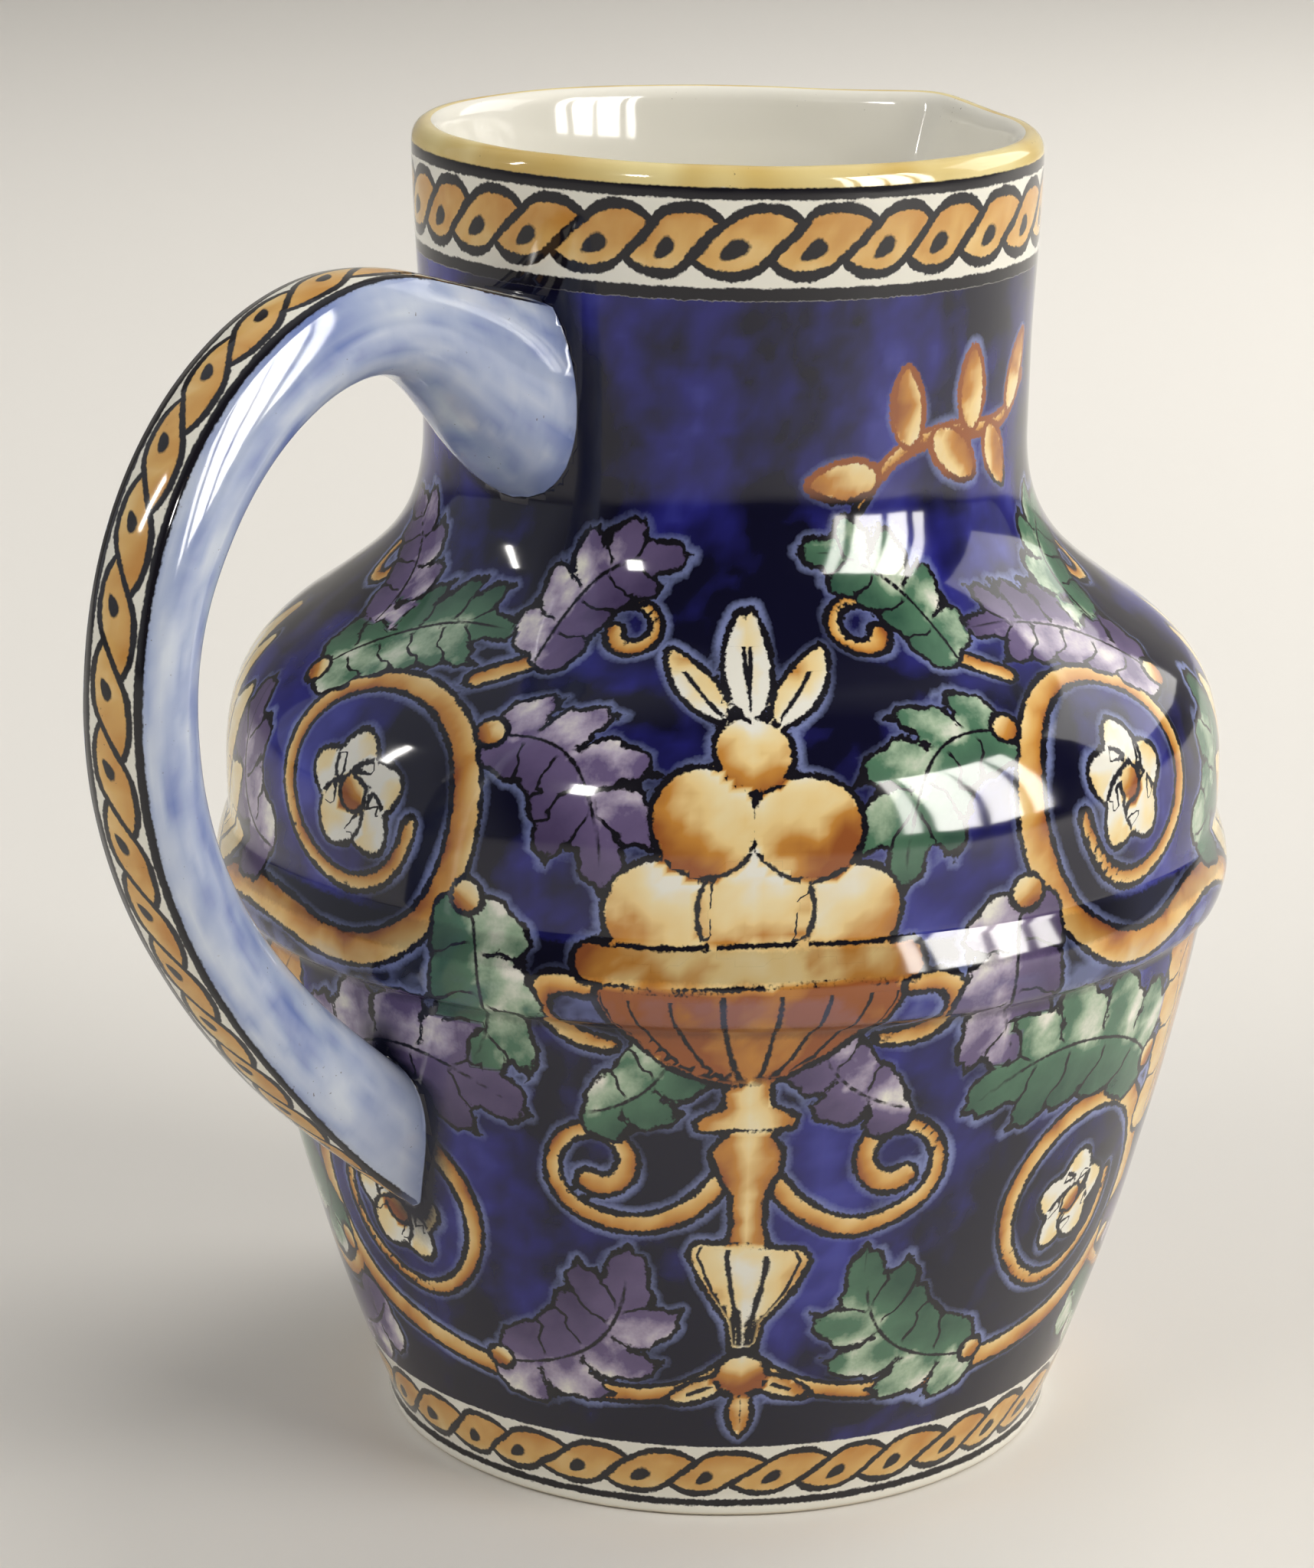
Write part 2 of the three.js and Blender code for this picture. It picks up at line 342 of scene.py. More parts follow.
class PotShape:
    """The pot's section lines and the forming of its rim."""

    def __init__(self, sizes: PotSizes) -> None:
        """Takes the sizes and draws the outside line."""
        self.sizes = sizes
        self.line = joined(self.outside(True))

    def outside(self, with_ridge: bool) -> List[np.ndarray]:
        """Stretches of the outside line, from the top of the foot to the root of the lip.

        Args:
            with_ridge: Whether the moulded ridge is drawn.

        Returns:
            Lines of radius and height.
        """
        s = self.sizes
        under = s.belly_radius - s.ridge_set_back
        lower = bezier([
            (s.foot_radius, s.foot_rise),
            (lerp(s.foot_radius, under, 0.37), s.foot_rise + 0.24 * s.lower_rise),
            (lerp(s.foot_radius, under, 0.8), s.foot_rise + 0.67 * s.lower_rise),
            (under, s.ridge_level),
        ], 90)
        if with_ridge:
            middle = self.ridge(under)
        else:
            middle = [np.array([(under, s.ridge_level), (s.belly_radius, s.belly_level)])]
        return [lower, *middle, *self.upper()]

    def ridge(self, under: float) -> List[np.ndarray]:
        """The ridge: a sharp ledge below, a round crest and a soft hollow above.

        Args:
            under: Radius just below the ridge.

        Returns:
            Its stretches.
        """
        s = self.sizes
        crest = s.belly_radius + s.ridge_proud
        crest_level = s.ridge_level + s.ridge_crest_rise
        ledge = s.ridge_level + 0.25 * s.ridge_crest_rise
        step = (lerp(under, crest, 0.65), ledge)
        face = bezier([step, (crest, lerp(ledge, crest_level, 0.5)), (crest, crest_level)], 16)
        hollow = bezier([
            (crest, crest_level),
            (lerp(s.belly_radius, crest, 0.88), lerp(crest_level, s.belly_level, 0.45)),
            (s.belly_radius, s.belly_level),
        ], 24)
        return [np.array([(under, s.ridge_level), step]), face, hollow]

    def upper(self) -> List[np.ndarray]:
        """The belly, the shoulder, its sweep and the neck.

        Returns:
            Their stretches.
        """
        s = self.sizes
        shoulder = s.belly_radius - s.shoulder_in
        lip_level = s.rim_level - s.lip_rounding
        belly = bezier([
            (s.belly_radius, s.belly_level),
            (s.belly_radius + 0.07 * s.shoulder_in, s.belly_level + 0.53 * s.belly_rise),
            (s.belly_radius - 0.1 * s.shoulder_in, s.belly_level + 0.75 * s.belly_rise),
            (shoulder, s.shoulder_level),
        ], 60)
        sweep = bezier([
            (shoulder, s.shoulder_level),
            (lerp(shoulder, s.neck_radius, 0.63), s.shoulder_level + 0.27 * s.sweep_rise),
            (lerp(shoulder, s.neck_radius, 1.02), s.shoulder_level + 0.43 * s.sweep_rise),
            (s.neck_radius, s.neck_level),
        ], 60)
        neck = bezier([
            (s.neck_radius, s.neck_level),
            (s.neck_radius, lerp(s.neck_level, lip_level, 0.45)),
            (s.rim_radius, lerp(s.neck_level, lip_level, 0.7)),
            (s.rim_radius, lip_level),
        ], 60)
        return [belly, sweep, neck]

    def radius_at(self, height: Union[float, np.ndarray]) -> np.ndarray:
        """Outside radius, with the ridge, at one or more heights."""
        return np.interp(height, self.line[:, 1], self.line[:, 0])

    def inset(self, depth: float) -> np.ndarray:
        """The outside line without its ridge, moved into the clay.

        Args:
            depth: How far, square to the line.

        Returns:
            Points of radius and height, from the foot up.
        """
        line = spaced(joined(self.outside(False)), 1.0)
        along = np.gradient(line, axis=0)
        along /= np.linalg.norm(along, axis=1)[:, None]
        return np.stack([line[:, 0] - along[:, 1] * depth, line[:, 1] + along[:, 0] * depth], axis=1)

    def profile(self, density: MeshDensity) -> np.ndarray:
        """The section of the wall, from the middle of the base round to the middle of the floor.

        Args:
            density: How finely it is divided.

        Returns:
            Points of radius and height.
        """
        s = self.sizes
        fine = density.painted_spacing
        flat = s.foot_radius - s.foot_rounding
        base = np.array([(0, 0), (flat * 0.5, 0), (flat * 0.86, 0), (flat, 0)])
        rounding = bezier([(flat, 0), (s.foot_radius, 0), (s.foot_radius, s.foot_rounding)], 4)
        rise = spaced(np.array([(s.foot_radius, s.foot_rounding), (s.foot_radius, s.foot_rise)]), fine)
        outside = [spaced(part, fine) for part in self.outside(True)]
        turn = np.linspace(0, math.pi, 11)
        half = s.lip_thickness / 2
        lip = np.stack([
            s.rim_radius - half + half * np.cos(turn),
            s.rim_level - s.lip_rounding + s.lip_rounding * np.sin(turn),
        ], axis=1)
        inner = self.inset(s.wall)[::-1]
        corner_top = s.floor_thickness + s.floor_corner
        side = inner[(inner[:, 1] > corner_top) & (inner[:, 1] < s.rim_level - 2 * s.lip_rounding)]
        last = side[-1]
        corner = bezier([
            last,
            (last[0] - 0.35 * s.floor_corner, s.floor_thickness),
            (last[0] - 1.5 * s.floor_corner, s.floor_thickness),
        ], 6)
        side = spaced(np.concatenate([lip[-1:], side]), density.plain_spacing)
        floor = np.array([(last[0] * 0.35, s.floor_thickness), (0.0, s.floor_thickness)])
        return np.concatenate([joined([base, rounding, rise, *outside, lip, side, corner]), floor])

    def lip_pull(self, points: np.ndarray) -> np.ndarray:
        """How strongly the pouring lip is pulled out: 0 on the plain rim, 1 at its tip.

        Args:
            points: Points of the pot.

        Returns:
            The pull at each.
        """
        s = self.sizes
        x, y, z = points.T
        from_tip = np.hypot(np.arctan2(y, x), s.lip_tip_softness) - s.lip_tip_softness
        turn = np.maximum(0, s.lip_half_angle - from_tip)
        pull = (1 / np.cos(turn) - 1) / (1 / math.cos(s.lip_half_angle) - 1)
        rise = smoothstep(z, s.rim_level - s.lip_depth, s.rim_level)
        return pull * np.where(np.hypot(x, y) > s.neck_radius / 2, rise, 0) ** 1.5

    @property
    def lip_reach(self) -> float:
        """How far the tip of the lip is pulled out."""
        return self.sizes.rim_radius * (1 / math.cos(self.sizes.lip_half_angle) - 1)

    def shape_rim(self, points: np.ndarray) -> np.ndarray:
        """Pulls the pouring lip out of the rim and sets the rim at its slight slope.

        Args:
            points: Points of the turned pot.

        Returns:
            The formed points.
        """
        s = self.sizes
        x, y, z = points.T
        pull = self.lip_pull(points)
        scale = 1 + self.lip_reach * pull / np.maximum(np.hypot(x, y), 1e-6)
        slope = smoothstep(z, s.neck_level, s.rim_level - s.lip_depth / 2) * s.rim_slope * y
        return np.stack([x * scale, y * scale, z + s.lip_rise * pull + slope], axis=1)


class HandleShape:
    """The strap handle's middle line and section."""

    SAMPLES = 900

    def __init__(self, sizes: HandleSizes, pot: PotShape) -> None:
        """Draws the middle line at even steps.

        Args:
            sizes: The handle's sizes.
            pot: The pot it is joined to.
        """
        self.sizes = sizes
        self.pot = pot
        line = self.middle_line()
        run = lengths(line)
        at = np.linspace(0, run[-1], self.SAMPLES + 1)
        self.centre = np.stack([np.interp(at, run, line[:, k]) for k in (0, 1)], axis=1)
        along = np.gradient(self.centre, axis=0)
        self.along = along / np.linalg.norm(along, axis=1)[:, None]
        self.length = float(run[-1])

    def middle_line(self) -> np.ndarray:
        """The middle line, from inside the neck over the arch to inside the lower wall.

        Returns:
            Points of X and Z.
        """
        h = self.sizes
        p = self.pot.sizes
        root_level = p.rim_level - h.root_drop
        top_level = p.rim_level - h.top_drop
        grip_level = p.rim_level - h.grip_drop
        heel_level = p.ridge_level - h.heel_drop
        plain = joined(self.pot.outside(False))
        root = float(np.interp(root_level, plain[:, 1], plain[:, 0])) - p.wall
        top = p.neck_radius + h.top_out
        grip = p.belly_radius + h.finger_gap + h.grip_thickness / 2
        heel = float(np.interp(heel_level, plain[:, 1], plain[:, 0])) - h.heel_depth
        parts = [
            bezier([
                (root, root_level), (lerp(root, top, 0.32), lerp(root_level, top_level, 0.3)),
                (lerp(root, top, 0.63), top_level), (top, top_level),
            ], 80),
            bezier([
                (top, top_level), (lerp(top, grip, 0.46), top_level),
                (grip, lerp(top_level, grip_level, 0.42)), (grip, grip_level),
            ], 80),
            bezier([
                (grip, grip_level), (grip, lerp(grip_level, heel_level, 0.32)),
                (lerp(grip, heel, 0.26), lerp(grip_level, heel_level, 0.61)), (heel, heel_level),
            ], 80),
        ]
        return joined(parts) * np.array([-1.0, 1.0])

    def thickness(self, share: np.ndarray) -> np.ndarray:
        """Thickness of the strap at a share of its length.

        Args:
            share: Shares of the length.

        Returns:
            Thicknesses.
        """
        h = self.sizes
        arch = h.arch_thickness + (h.grip_thickness - h.arch_thickness) * smoothstep(share, 0.3, 0.5)
        strap = arch + (h.heel_thickness - arch) * smoothstep(share, 0.62, 0.95)
        return h.root_thickness + (strap - h.root_thickness) * smoothstep(share, -0.02, 0.155)

    def width(self, share: np.ndarray) -> np.ndarray:
        """Width of the strap at a share of its length."""
        h = self.sizes
        return h.root_width + (h.strap_width - h.root_width) * smoothstep(share, 0, 0.16)

    def narrowing(self, share: np.ndarray) -> np.ndarray:
        """How far the outer face narrows where the strap runs out onto the pot."""
        return 0.72 * smoothstep(share, 0.8, 0.99)

    def section(self, steps: int) -> np.ndarray:
        """The section in shares of thickness and width, with the outer face at 0.5.

        Args:
            steps: Divisions of each curve.

        Returns:
            A closed ring of points, without its last point again.
        """
        f = self.sizes.face_share
        face = bezier([(0.5, -f), (0.6, 0), (0.5, f)], steps)
        side = bezier([(0.5, f), (0.2, 0.58), (-0.5, 0.64), (-0.5, 0)], 2 * steps)
        other = side[::-1] * np.array([1.0, -1.0])
        return joined([face, side, other])[:-1]

    def placed(self, share: np.ndarray, ring: np.ndarray) -> np.ndarray:
        """Section points set on the middle line.

        Args:
            share: One share of the length for each ring.
            ring: The section.

        Returns:
            An array of rings of points.
        """
        run = np.linspace(0, 1, self.SAMPLES + 1)
        centre = np.stack([np.interp(share, run, self.centre[:, k]) for k in (0, 1)], axis=1)
        along = np.stack([np.interp(share, run, self.along[:, k]) for k in (0, 1)], axis=1)
        out = ring[None, :, 0] * self.thickness(share)[:, None]
        keep = 1 - self.narrowing(share)[:, None] * (ring[None, :, 0] + 0.5)
        across = ring[None, :, 1] * self.width(share)[:, None] * keep
        x = centre[:, None, 0] + along[:, None, 1] * out
        z = centre[:, None, 1] - along[:, None, 0] * out
        return np.stack([x, across, z], axis=2)

    def nearest(self, points: np.ndarray) -> Tuple[np.ndarray, np.ndarray]:
        """Where points lie along and out from the middle line.

        Args:
            points: Points in millimetres.

        Returns:
            Shares of the length, and distances out from the line, away from the pot.
        """
        flat = points[:, [0, 2]]
        share = np.empty(len(flat))
        out = np.empty(len(flat))
        for start in range(0, len(flat), 4000):
            part = flat[start:start + 4000]
            gap = part[:, None, :] - self.centre[None]
            index = np.argmin((gap ** 2).sum(axis=2), axis=1)
            rest = part - self.centre[index]
            along = self.along[index]
            ahead = (rest * along).sum(axis=1)
            share[start:start + 4000] = (index / self.SAMPLES) + ahead / self.length
            out[start:start + 4000] = rest[:, 0] * along[:, 1] - rest[:, 1] * along[:, 0]
        return np.clip(share, 0, 1), out


class SkinBuilder:
    """Builds the jug's single skin from the pot, the handle and the core that trims it."""

    def __init__(self, pot: PotShape, handle: HandleShape, density: MeshDensity) -> None:
        """Takes the shapes.

        Args:
            pot: The pot.
            handle: The handle.
            density: How finely the skin is divided.
        """
        self.pot = pot
        self.handle = handle
        self.density = density

    def turned(self, name: str, profile: np.ndarray, steps: int) -> bpy.types.Object:
        """Spins a profile about +Z into a closed skin.

        Args:
            name: Name of the object.
            profile: Points of radius and height.
            steps: Divisions of the turn.

        Returns:
            The object, in millimetres.
        """
        bm = bmesh.new()
        chain = [bm.verts.new((r, 0.0, z)) for r, z in profile]
        edges = [bm.edges.new(pair) for pair in zip(chain, chain[1:])]
        bmesh.ops.spin(
            bm, geom=chain + edges, cent=(0, 0, 0), axis=(0, 0, 1), dvec=(0, 0, 0),
            angle=2 * math.pi, steps=steps, use_merge=True, use_duplicate=False,
        )
        bmesh.ops.remove_doubles(bm, verts=bm.verts, dist=1e-4)
        bmesh.ops.recalc_face_normals(bm, faces=bm.faces)
        return self.linked(name, bm)

    def strap(self, name: str) -> bpy.types.Object:
        """The handle as a closed tube of its section.

        Args:
            name: Name of the object.

        Returns:
            The object, in millimetres.
        """
        d = self.density
        share = np.linspace(0, 1, d.handle_steps + 1)
        rings = self.handle.placed(share, self.handle.section(d.section_curve_steps))
        bm = bmesh.new()
        loops = [[bm.verts.new(point) for point in ring] for ring in rings]
        for one, two in zip(loops, loops[1:]):
            for k in range(len(one)):
                n = (k + 1) % len(one)
                bm.faces.new((one[k], one[n], two[n], two[k]))
        bm.faces.new(loops[0][::-1])
        bm.faces.new(loops[-1])
        bmesh.ops.recalc_face_normals(bm, faces=bm.faces)
        return self.linked(name, bm)

    @staticmethod
    def linked(name: str, bm: bmesh.types.BMesh) -> bpy.types.Object:
        """Turns a bmesh into an object of the scene.

        Args:
            name: Name of the object.
            bm: The mesh, which is freed.

        Returns:
            The object.
        """
        mesh = bpy.data.meshes.new(name)
        bm.to_mesh(mesh)
        bm.free()
        made = bpy.data.objects.new(name, mesh)
        bpy.context.scene.collection.objects.link(made)
        return made

    @staticmethod
    def combine(target: bpy.types.Object, tool: bpy.types.Object, operation: str) -> None:
        """Joins or cuts one closed skin by another, and removes the second.

        Args:
            target: The object that is changed.
            tool: The object that is used up.
            operation: UNION or DIFFERENCE.
        """
        modifier = target.modifiers.new("join", "BOOLEAN")
        modifier.operation = operation
        modifier.solver = "MANIFOLD"
        modifier.object = tool
        bpy.context.view_layer.update()
        depsgraph = bpy.context.evaluated_depsgraph_get()
        made = bpy.data.meshes.new_from_object(target.evaluated_get(depsgraph))
        target.modifiers.clear()
        old = target.data
        target.data = made
        bpy.data.meshes.remove(old)
        bpy.data.objects.remove(tool)

    def build(self) -> bpy.types.Object:
        """Makes the skin in millimetres.

        Returns:
            The jug, not yet painted.
        """
        d = self.density
        pot = self.turned(JUG_NODE + "_skin", self.pot.profile(d), d.turn_steps)
        skin = positions(pot.data)
        pot.data.vertices.foreach_set("co", self.pot.shape_rim(skin).ravel())
        middle = self.pot.inset(self.pot.sizes.wall / 2)
        core_line = np.concatenate([[(0.0, middle[0, 1])], middle, [(0.0, middle[-1, 1])]])
        core = self.turned("core", core_line, d.core_steps)
        strap = self.strap("strap")
        self.combine(strap, core, "DIFFERENCE")
        self.combine(pot, strap, "UNION")
        LOG.info("skin: %d points, %d faces", len(pot.data.vertices), len(pot.data.polygons))
        return pot


def positions(mesh: bpy.types.Mesh) -> np.ndarray:
    """The points of a mesh.

    Args:
        mesh: The mesh.

    Returns:
        An array of points.
    """
    points = np.empty(len(mesh.vertices) * 3)
    mesh.vertices.foreach_get("co", points)
    return points.reshape(-1, 3)


def store(mesh: bpy.types.Mesh, name: str, *values: np.ndarray) -> None:
    """Keeps up to three values for each point of a mesh.

    Args:
        mesh: The mesh.
        name: Name of the attribute.
        values: One to three arrays.
    """
    packed = np.zeros((len(mesh.vertices), 3), np.float32)
    for k, value in enumerate(values):
        packed[:, k] = value
    attribute = mesh.attributes.new(name, "FLOAT_VECTOR", "POINT")
    attribute.data.foreach_set("vector", packed.ravel())


def clouds(points: np.ndarray, size: float, octaves: int, place: float) -> np.ndarray:
    """Smooth noise with features of a real size.

    Args:
        points: Where it is wanted.
        size: Size of the features.
        octaves: How many octaves it has.
        place: Where in the noise it starts.

    Returns:
        Values around 0.5.
    """
    top = sum(0.5 ** k for k in range(octaves))
    at = points / size + place
    warp = np.array([noise.noise(point) for point in at[:, [1, 2, 0]]])
    at += 0.3 * warp[:, None]
    return np.array([0.5 + 0.5 * noise.fractal(point, 1.0, 2.0, octaves) / top for point in at])


def add_unevenness(mesh: bpy.types.Mesh, skin: np.ndarray, sizes: CloudSizes) -> None:
    """Keeps the clouds that the washes follow, and lets the skin swell as a thrown pot does.

    Args:
        mesh: The skin, in millimetres.
        skin: Its points.
        sizes: Sizes of the clouds.
    """
    squash = np.array([1.0, 1.0, sizes.brush_squash])
    wash = clouds(skin, sizes.wash, 3, 5.0)
    drift = clouds(skin, sizes.drift, 2, 40.0)
    store(mesh, "clouds", wash, drift, clouds(skin * squash, sizes.brush, 3, 90.0))
    normals = np.empty(len(skin) * 3)
    mesh.vertices.foreach_get("normal", normals)
    swell = (clouds(skin, sizes.swell, 1, 20.0) - 0.5) * sizes.swell_height
    mesh.vertices.foreach_set("co", (skin + normals.reshape(-1, 3) * swell[:, None]).ravel())


class ClayZones:
    """Says for each point of the skin whether it is pot or handle, outside or inside.

    REACH and PAST_EDGE are as far as distances from the seam and from the edge of the strap's
    face are told. The strap lies beyond STRAP_START, within STRAP_SIDE of the middle plane and
    between STRAP_LEVELS. STREAK is how long, deep and wide the streaks of its blue are.
    """

    REACH = 8.0
    PAST_EDGE = 3.0
    STRAP_START = -20.0
    STRAP_SIDE = 16.0
    STRAP_LEVELS = (14.0, 117.0)
    OFF_POT = 0.06
    STRAP_SLACK = 0.5
    FACE_SHARE = 0.485
    STREAK = (9.0, 1.7, 4.0)

    def __init__(self, pot: PotShape, handle: HandleShape, skin: np.ndarray) -> None:
        """Takes the shapes and the points of the skin.

        Args:
            pot: The pot.
            handle: The handle.
            skin: Points of the skin, in millimetres.
        """
        self.pot = pot
        self.handle = handle
        self.skin = skin
        self.radius = np.hypot(skin[:, 0], skin[:, 1]) - pot.lip_reach * pot.lip_pull(skin)

    def inside(self) -> np.ndarray:
        """Distance out from the middle of the wall: below 0 on the inside of the pot.

        Returns:
            The distances.
        """
        s = self.pot.sizes
        z = self.skin[:, 2]
        middle = self.pot.radius_at(np.clip(z, s.foot_rise, s.rim_level)) - s.wall / 2
        within = np.where(z > s.floor_thickness / 2, self.radius - middle, 1.0)
        return np.clip(within, -3, 3)

    def seam(self) -> Tuple[np.ndarray, np.ndarray, np.ndarray, np.ndarray, np.ndarray]:
        """Distance from the seam of pot and handle, and the run over the strap.

        Returns:
            Distance from the seam, above 0 on the handle; distance past the edge of the
            strap's face; length along the strap; distance across its face; and how the
            strap's blue is streaked.
        """
        h = self.handle
        skin = self.skin
        seam = np.full(len(skin), -self.REACH)
        edge = np.full(len(skin), self.PAST_EDGE)
        along = np.zeros(len(skin))
        across = np.zeros(len(skin))
        low, high = self.STRAP_LEVELS
        beside = (skin[:, 0] < self.STRAP_START) & (np.abs(skin[:, 1]) < self.STRAP_SIDE)
        near = np.flatnonzero(beside & (skin[:, 2] > low) & (skin[:, 2] < high))
        part = skin[near]
        share, out = h.nearest(part)
        off = self.radius[near] - self.pot.radius_at(part[:, 2])
        outline = self.outline_distance(share, out, part[:, 1])
        on_strap = (off > self.OFF_POT) & (outline < self.STRAP_SLACK)
        seam[near] = np.where(on_strap, np.minimum(off, self.REACH), -np.clip(outline, 0, self.REACH))
        thickness = h.thickness(share)
        half = h.sizes.face_share * h.width(share) * (1 - h.narrowing(share))
        on_face = out / thickness > self.FACE_SHARE
        past = np.where(on_face, np.abs(part[:, 1]) - half, (0.5 - out / thickness) * thickness)
        edge[near] = np.where(on_strap, past, self.PAST_EDGE)
        along[near] = share * h.length
        full = h.sizes.face_share * h.sizes.strap_width
        across[near] = -part[:, 1] * full / np.minimum(half, full)
        streaks = np.full(len(skin), 0.5)
        brushed = np.stack([share * h.length, out, part[:, 1]], axis=1) / np.array(self.STREAK)
        streaks[near] = clouds(brushed, 1.0, 3, 70.0)
        seam[self.inside() < 0] = -self.REACH
        return seam, edge, along, across, streaks

    def outline_distance(self, share: np.ndarray, out: np.ndarray, across: np.ndarray) -> np.ndarray:
        """Distance outside the strap's section.

        Args:
            share: Shares of the strap's length.
            out: Distances out from the middle line.
            across: Distances from the plane of the handle.

        Returns:
            Distances, below 0 inside the clay of the strap.
        """
        h = self.handle
        thickness = h.thickness(share)
        width = h.width(share) * (1 - h.narrowing(share) * (out / thickness + 0.5))
        width = np.maximum(width, 0.5)
        ring = h.section(6)
        u = np.clip(out / thickness, -0.5, 0.5)
        upper = ring[ring[:, 1] >= 0]
        upper = upper[np.argsort(upper[:, 0])]
        half = np.interp(u, upper[:, 0], upper[:, 1]) * width
        beside = np.abs(across) - half
        beyond = np.maximum(out - 0.5 * thickness, -0.5 * thickness - out)
        return np.where(beyond > 0, np.hypot(np.maximum(beside, 0), beyond), np.maximum(beside, beyond))


@dataclass(frozen=True)
class Lamp:
    """A rectangular light, placed as it is seen from the jug.

    The azimuth counts in degrees to the right of the camera. The distance and the size are
    in metres and the power is in watts. One that isn't mirrored only lights, and one that
    doesn't light only shows in the glaze.
    """

    name: str
    azimuth: float
    elevation: float
    distance: float
    size: Tuple[float, float]
    power: float
    mirrored: bool = True
    lights: bool = True


class Studio:
    """The camera, the floor and the light.

    The window is a row of panes, each an offset in degrees, a width in metres and a share of
    its glow. The dark side is the unlit part of the room that a glaze mirrors in front. The
    floor's places are metres ahead of the camera, from the jug.
    """

    PANES = ((-16.5, 0.08, 0.8), (-6, 0.21, 1.0), (6, 0.18, 1.0), (16, 0.1, 0.8))
    PANE_HEIGHT = 0.74
    PANE_GLOW = 66.0
    WINDOW = 59.0
    DARK_SIDE = (20.0, 25.0)
    WINDOW_RISE = 21.0
    WINDOW_DISTANCE = 1.15
    LAMPS = (
        Lamp("far_window", -34, 33, 1.6, (0.14, 0.2), 4.5, lights=False),
        Lamp("narrow_window", -86, 27, 1.5, (0.06, 0.34), 3.0, lights=False),
        Lamp("key", WINDOW, 35, 1.3, (0.7, 0.7), 10, mirrored=False),
        Lamp("fill", -50, 40, 1.5, (0.9, 0.9), 7, mirrored=False),
        Lamp("right_wall", 122, 26, 1.7, (1.3, 0.9), 9),
    )
    BACKDROP = Lamp("backdrop", 125, 58, 1.35, (1.0, 0.6), 15, mirrored=False)
    BACKDROP_BACK = Vector((0, 0, 0.8))
    JUG_MIDDLE = Vector((0, 0, 0.06))
    FLOOR_NEAR = -2.2
    FLOOR_FAR = 1.6
    SWEEP = 0.8
    WALL_TOP = 2.6
    FLOOR_SIDE = 3.5
    PAPER_ROUGHNESS = 0.85

    def __init__(self, camera: CameraSizes) -> None:
        """Takes the viewpoint."""
        self.camera = camera

    def place_camera(self) -> bpy.types.Object:
        """Sets the camera at the photograph's viewpoint.

        Returns:
            The camera.
        """
        c = self.camera
        data = bpy.data.cameras.new("camera")
        data.sensor_width = c.sensor
        data.lens = c.lens
        data.clip_start = 0.01
        data.clip_end = 20
        made = bpy.data.objects.new("camera", data)
        bpy.context.scene.collection.objects.link(made)
        ahead = Vector((
            math.sin(c.yaw) * math.cos(c.pitch), math.cos(c.yaw) * math.cos(c.pitch), -math.sin(c.pitch),
        ))
        right = Vector((math.cos(c.yaw), -math.sin(c.yaw), 0))
        up = right.cross(ahead)
        side = right * math.cos(c.roll) + up * math.sin(c.roll)
        top = up * math.cos(c.roll) - right * math.sin(c.roll)
        axes = Matrix((side, top, -ahead)).transposed().to_4x4()
        place = Matrix.Translation(Vector((0, -c.distance * MM, c.height * MM)))
        made.matrix_world = Matrix.Rotation(c.turn, 4, "Z") @ place @ axes
        bpy.context.scene.camera = made
        return made

    def direction(self, azimuth: float, elevation: float) -> Vector:
        """A direction from the jug.

        Args:
            azimuth: Degrees to the right of the camera, seen from the camera.
            elevation: Degrees above the horizon.

        Returns:
            A unit vector.
        """
        a = self.camera.turn + math.radians(azimuth)
        e = math.radians(elevation)
        return Vector((math.sin(a) * math.cos(e), -math.cos(a) * math.cos(e), math.sin(e)))

    def area(self, lamp: Lamp, back: Optional[Vector] = None) -> bpy.types.Object:
        """One light, which faces the jug unless its back is turned elsewhere.

        Args:
            lamp: The light.
            back: Direction of its back, where it isn't away from the jug.

        Returns:
            The light's object.
        """
        data = bpy.data.lights.new(lamp.name, "AREA")
        data.shape = "RECTANGLE"
        data.size, data.size_y = lamp.size
        data.energy = lamp.power
        data.color = linear(Hue.LAMP)[:3]
        made = bpy.data.objects.new(lamp.name, data)
        bpy.context.scene.collection.objects.link(made)
        toward = self.direction(lamp.azimuth, lamp.elevation)
        made.location = self.JUG_MIDDLE + toward * lamp.distance
        made.rotation_mode = "QUATERNION"
        made.rotation_quaternion = (back or toward).to_track_quat("Z", "Y")
        made.visible_glossy = lamp.mirrored
        made.visible_diffuse = lamp.lights
        return made

    def light(self) -> None:
        """Sets the paned window on the right, the smaller ones on the left and the soft lights."""
        for k, (offset, width, share) in enumerate(self.PANES):
            power = self.PANE_GLOW * share * width * self.PANE_HEIGHT
            self.area(Lamp(
                f"window_{k}", self.WINDOW + offset, self.WINDOW_RISE, self.WINDOW_DISTANCE,
                (width, self.PANE_HEIGHT), power, lights=False,
            ))
        for lamp in self.LAMPS:
            self.area(lamp)
        self.area(self.BACKDROP, self.direction(0, 0) + self.BACKDROP_BACK)
        world = bpy.data.worlds.new("room")
        bpy.context.scene.world = world
        world.use_nodes = True
        world.node_tree.nodes.clear()
        add = Graph(world.node_tree).add
        dark = tuple(self.direction(*self.DARK_SIDE))
        facing = add("VectorMath DOT_PRODUCT", add("TexCoord", out="Generated"), dark, out="Value")
        room = add("Math MULTIPLY_ADD", add("MapRange", facing, 0.45, 0.1), 0.45, 0.05)
        seen = add("LightPath", out="Is Camera Ray")
        strength = add("Math MAXIMUM", room, add("Math MULTIPLY", seen, 0.8))
        add("OutputWorld", add("Background", Hue.ROOM, strength))
        bpy.context.scene.view_settings.view_transform = "Standard"

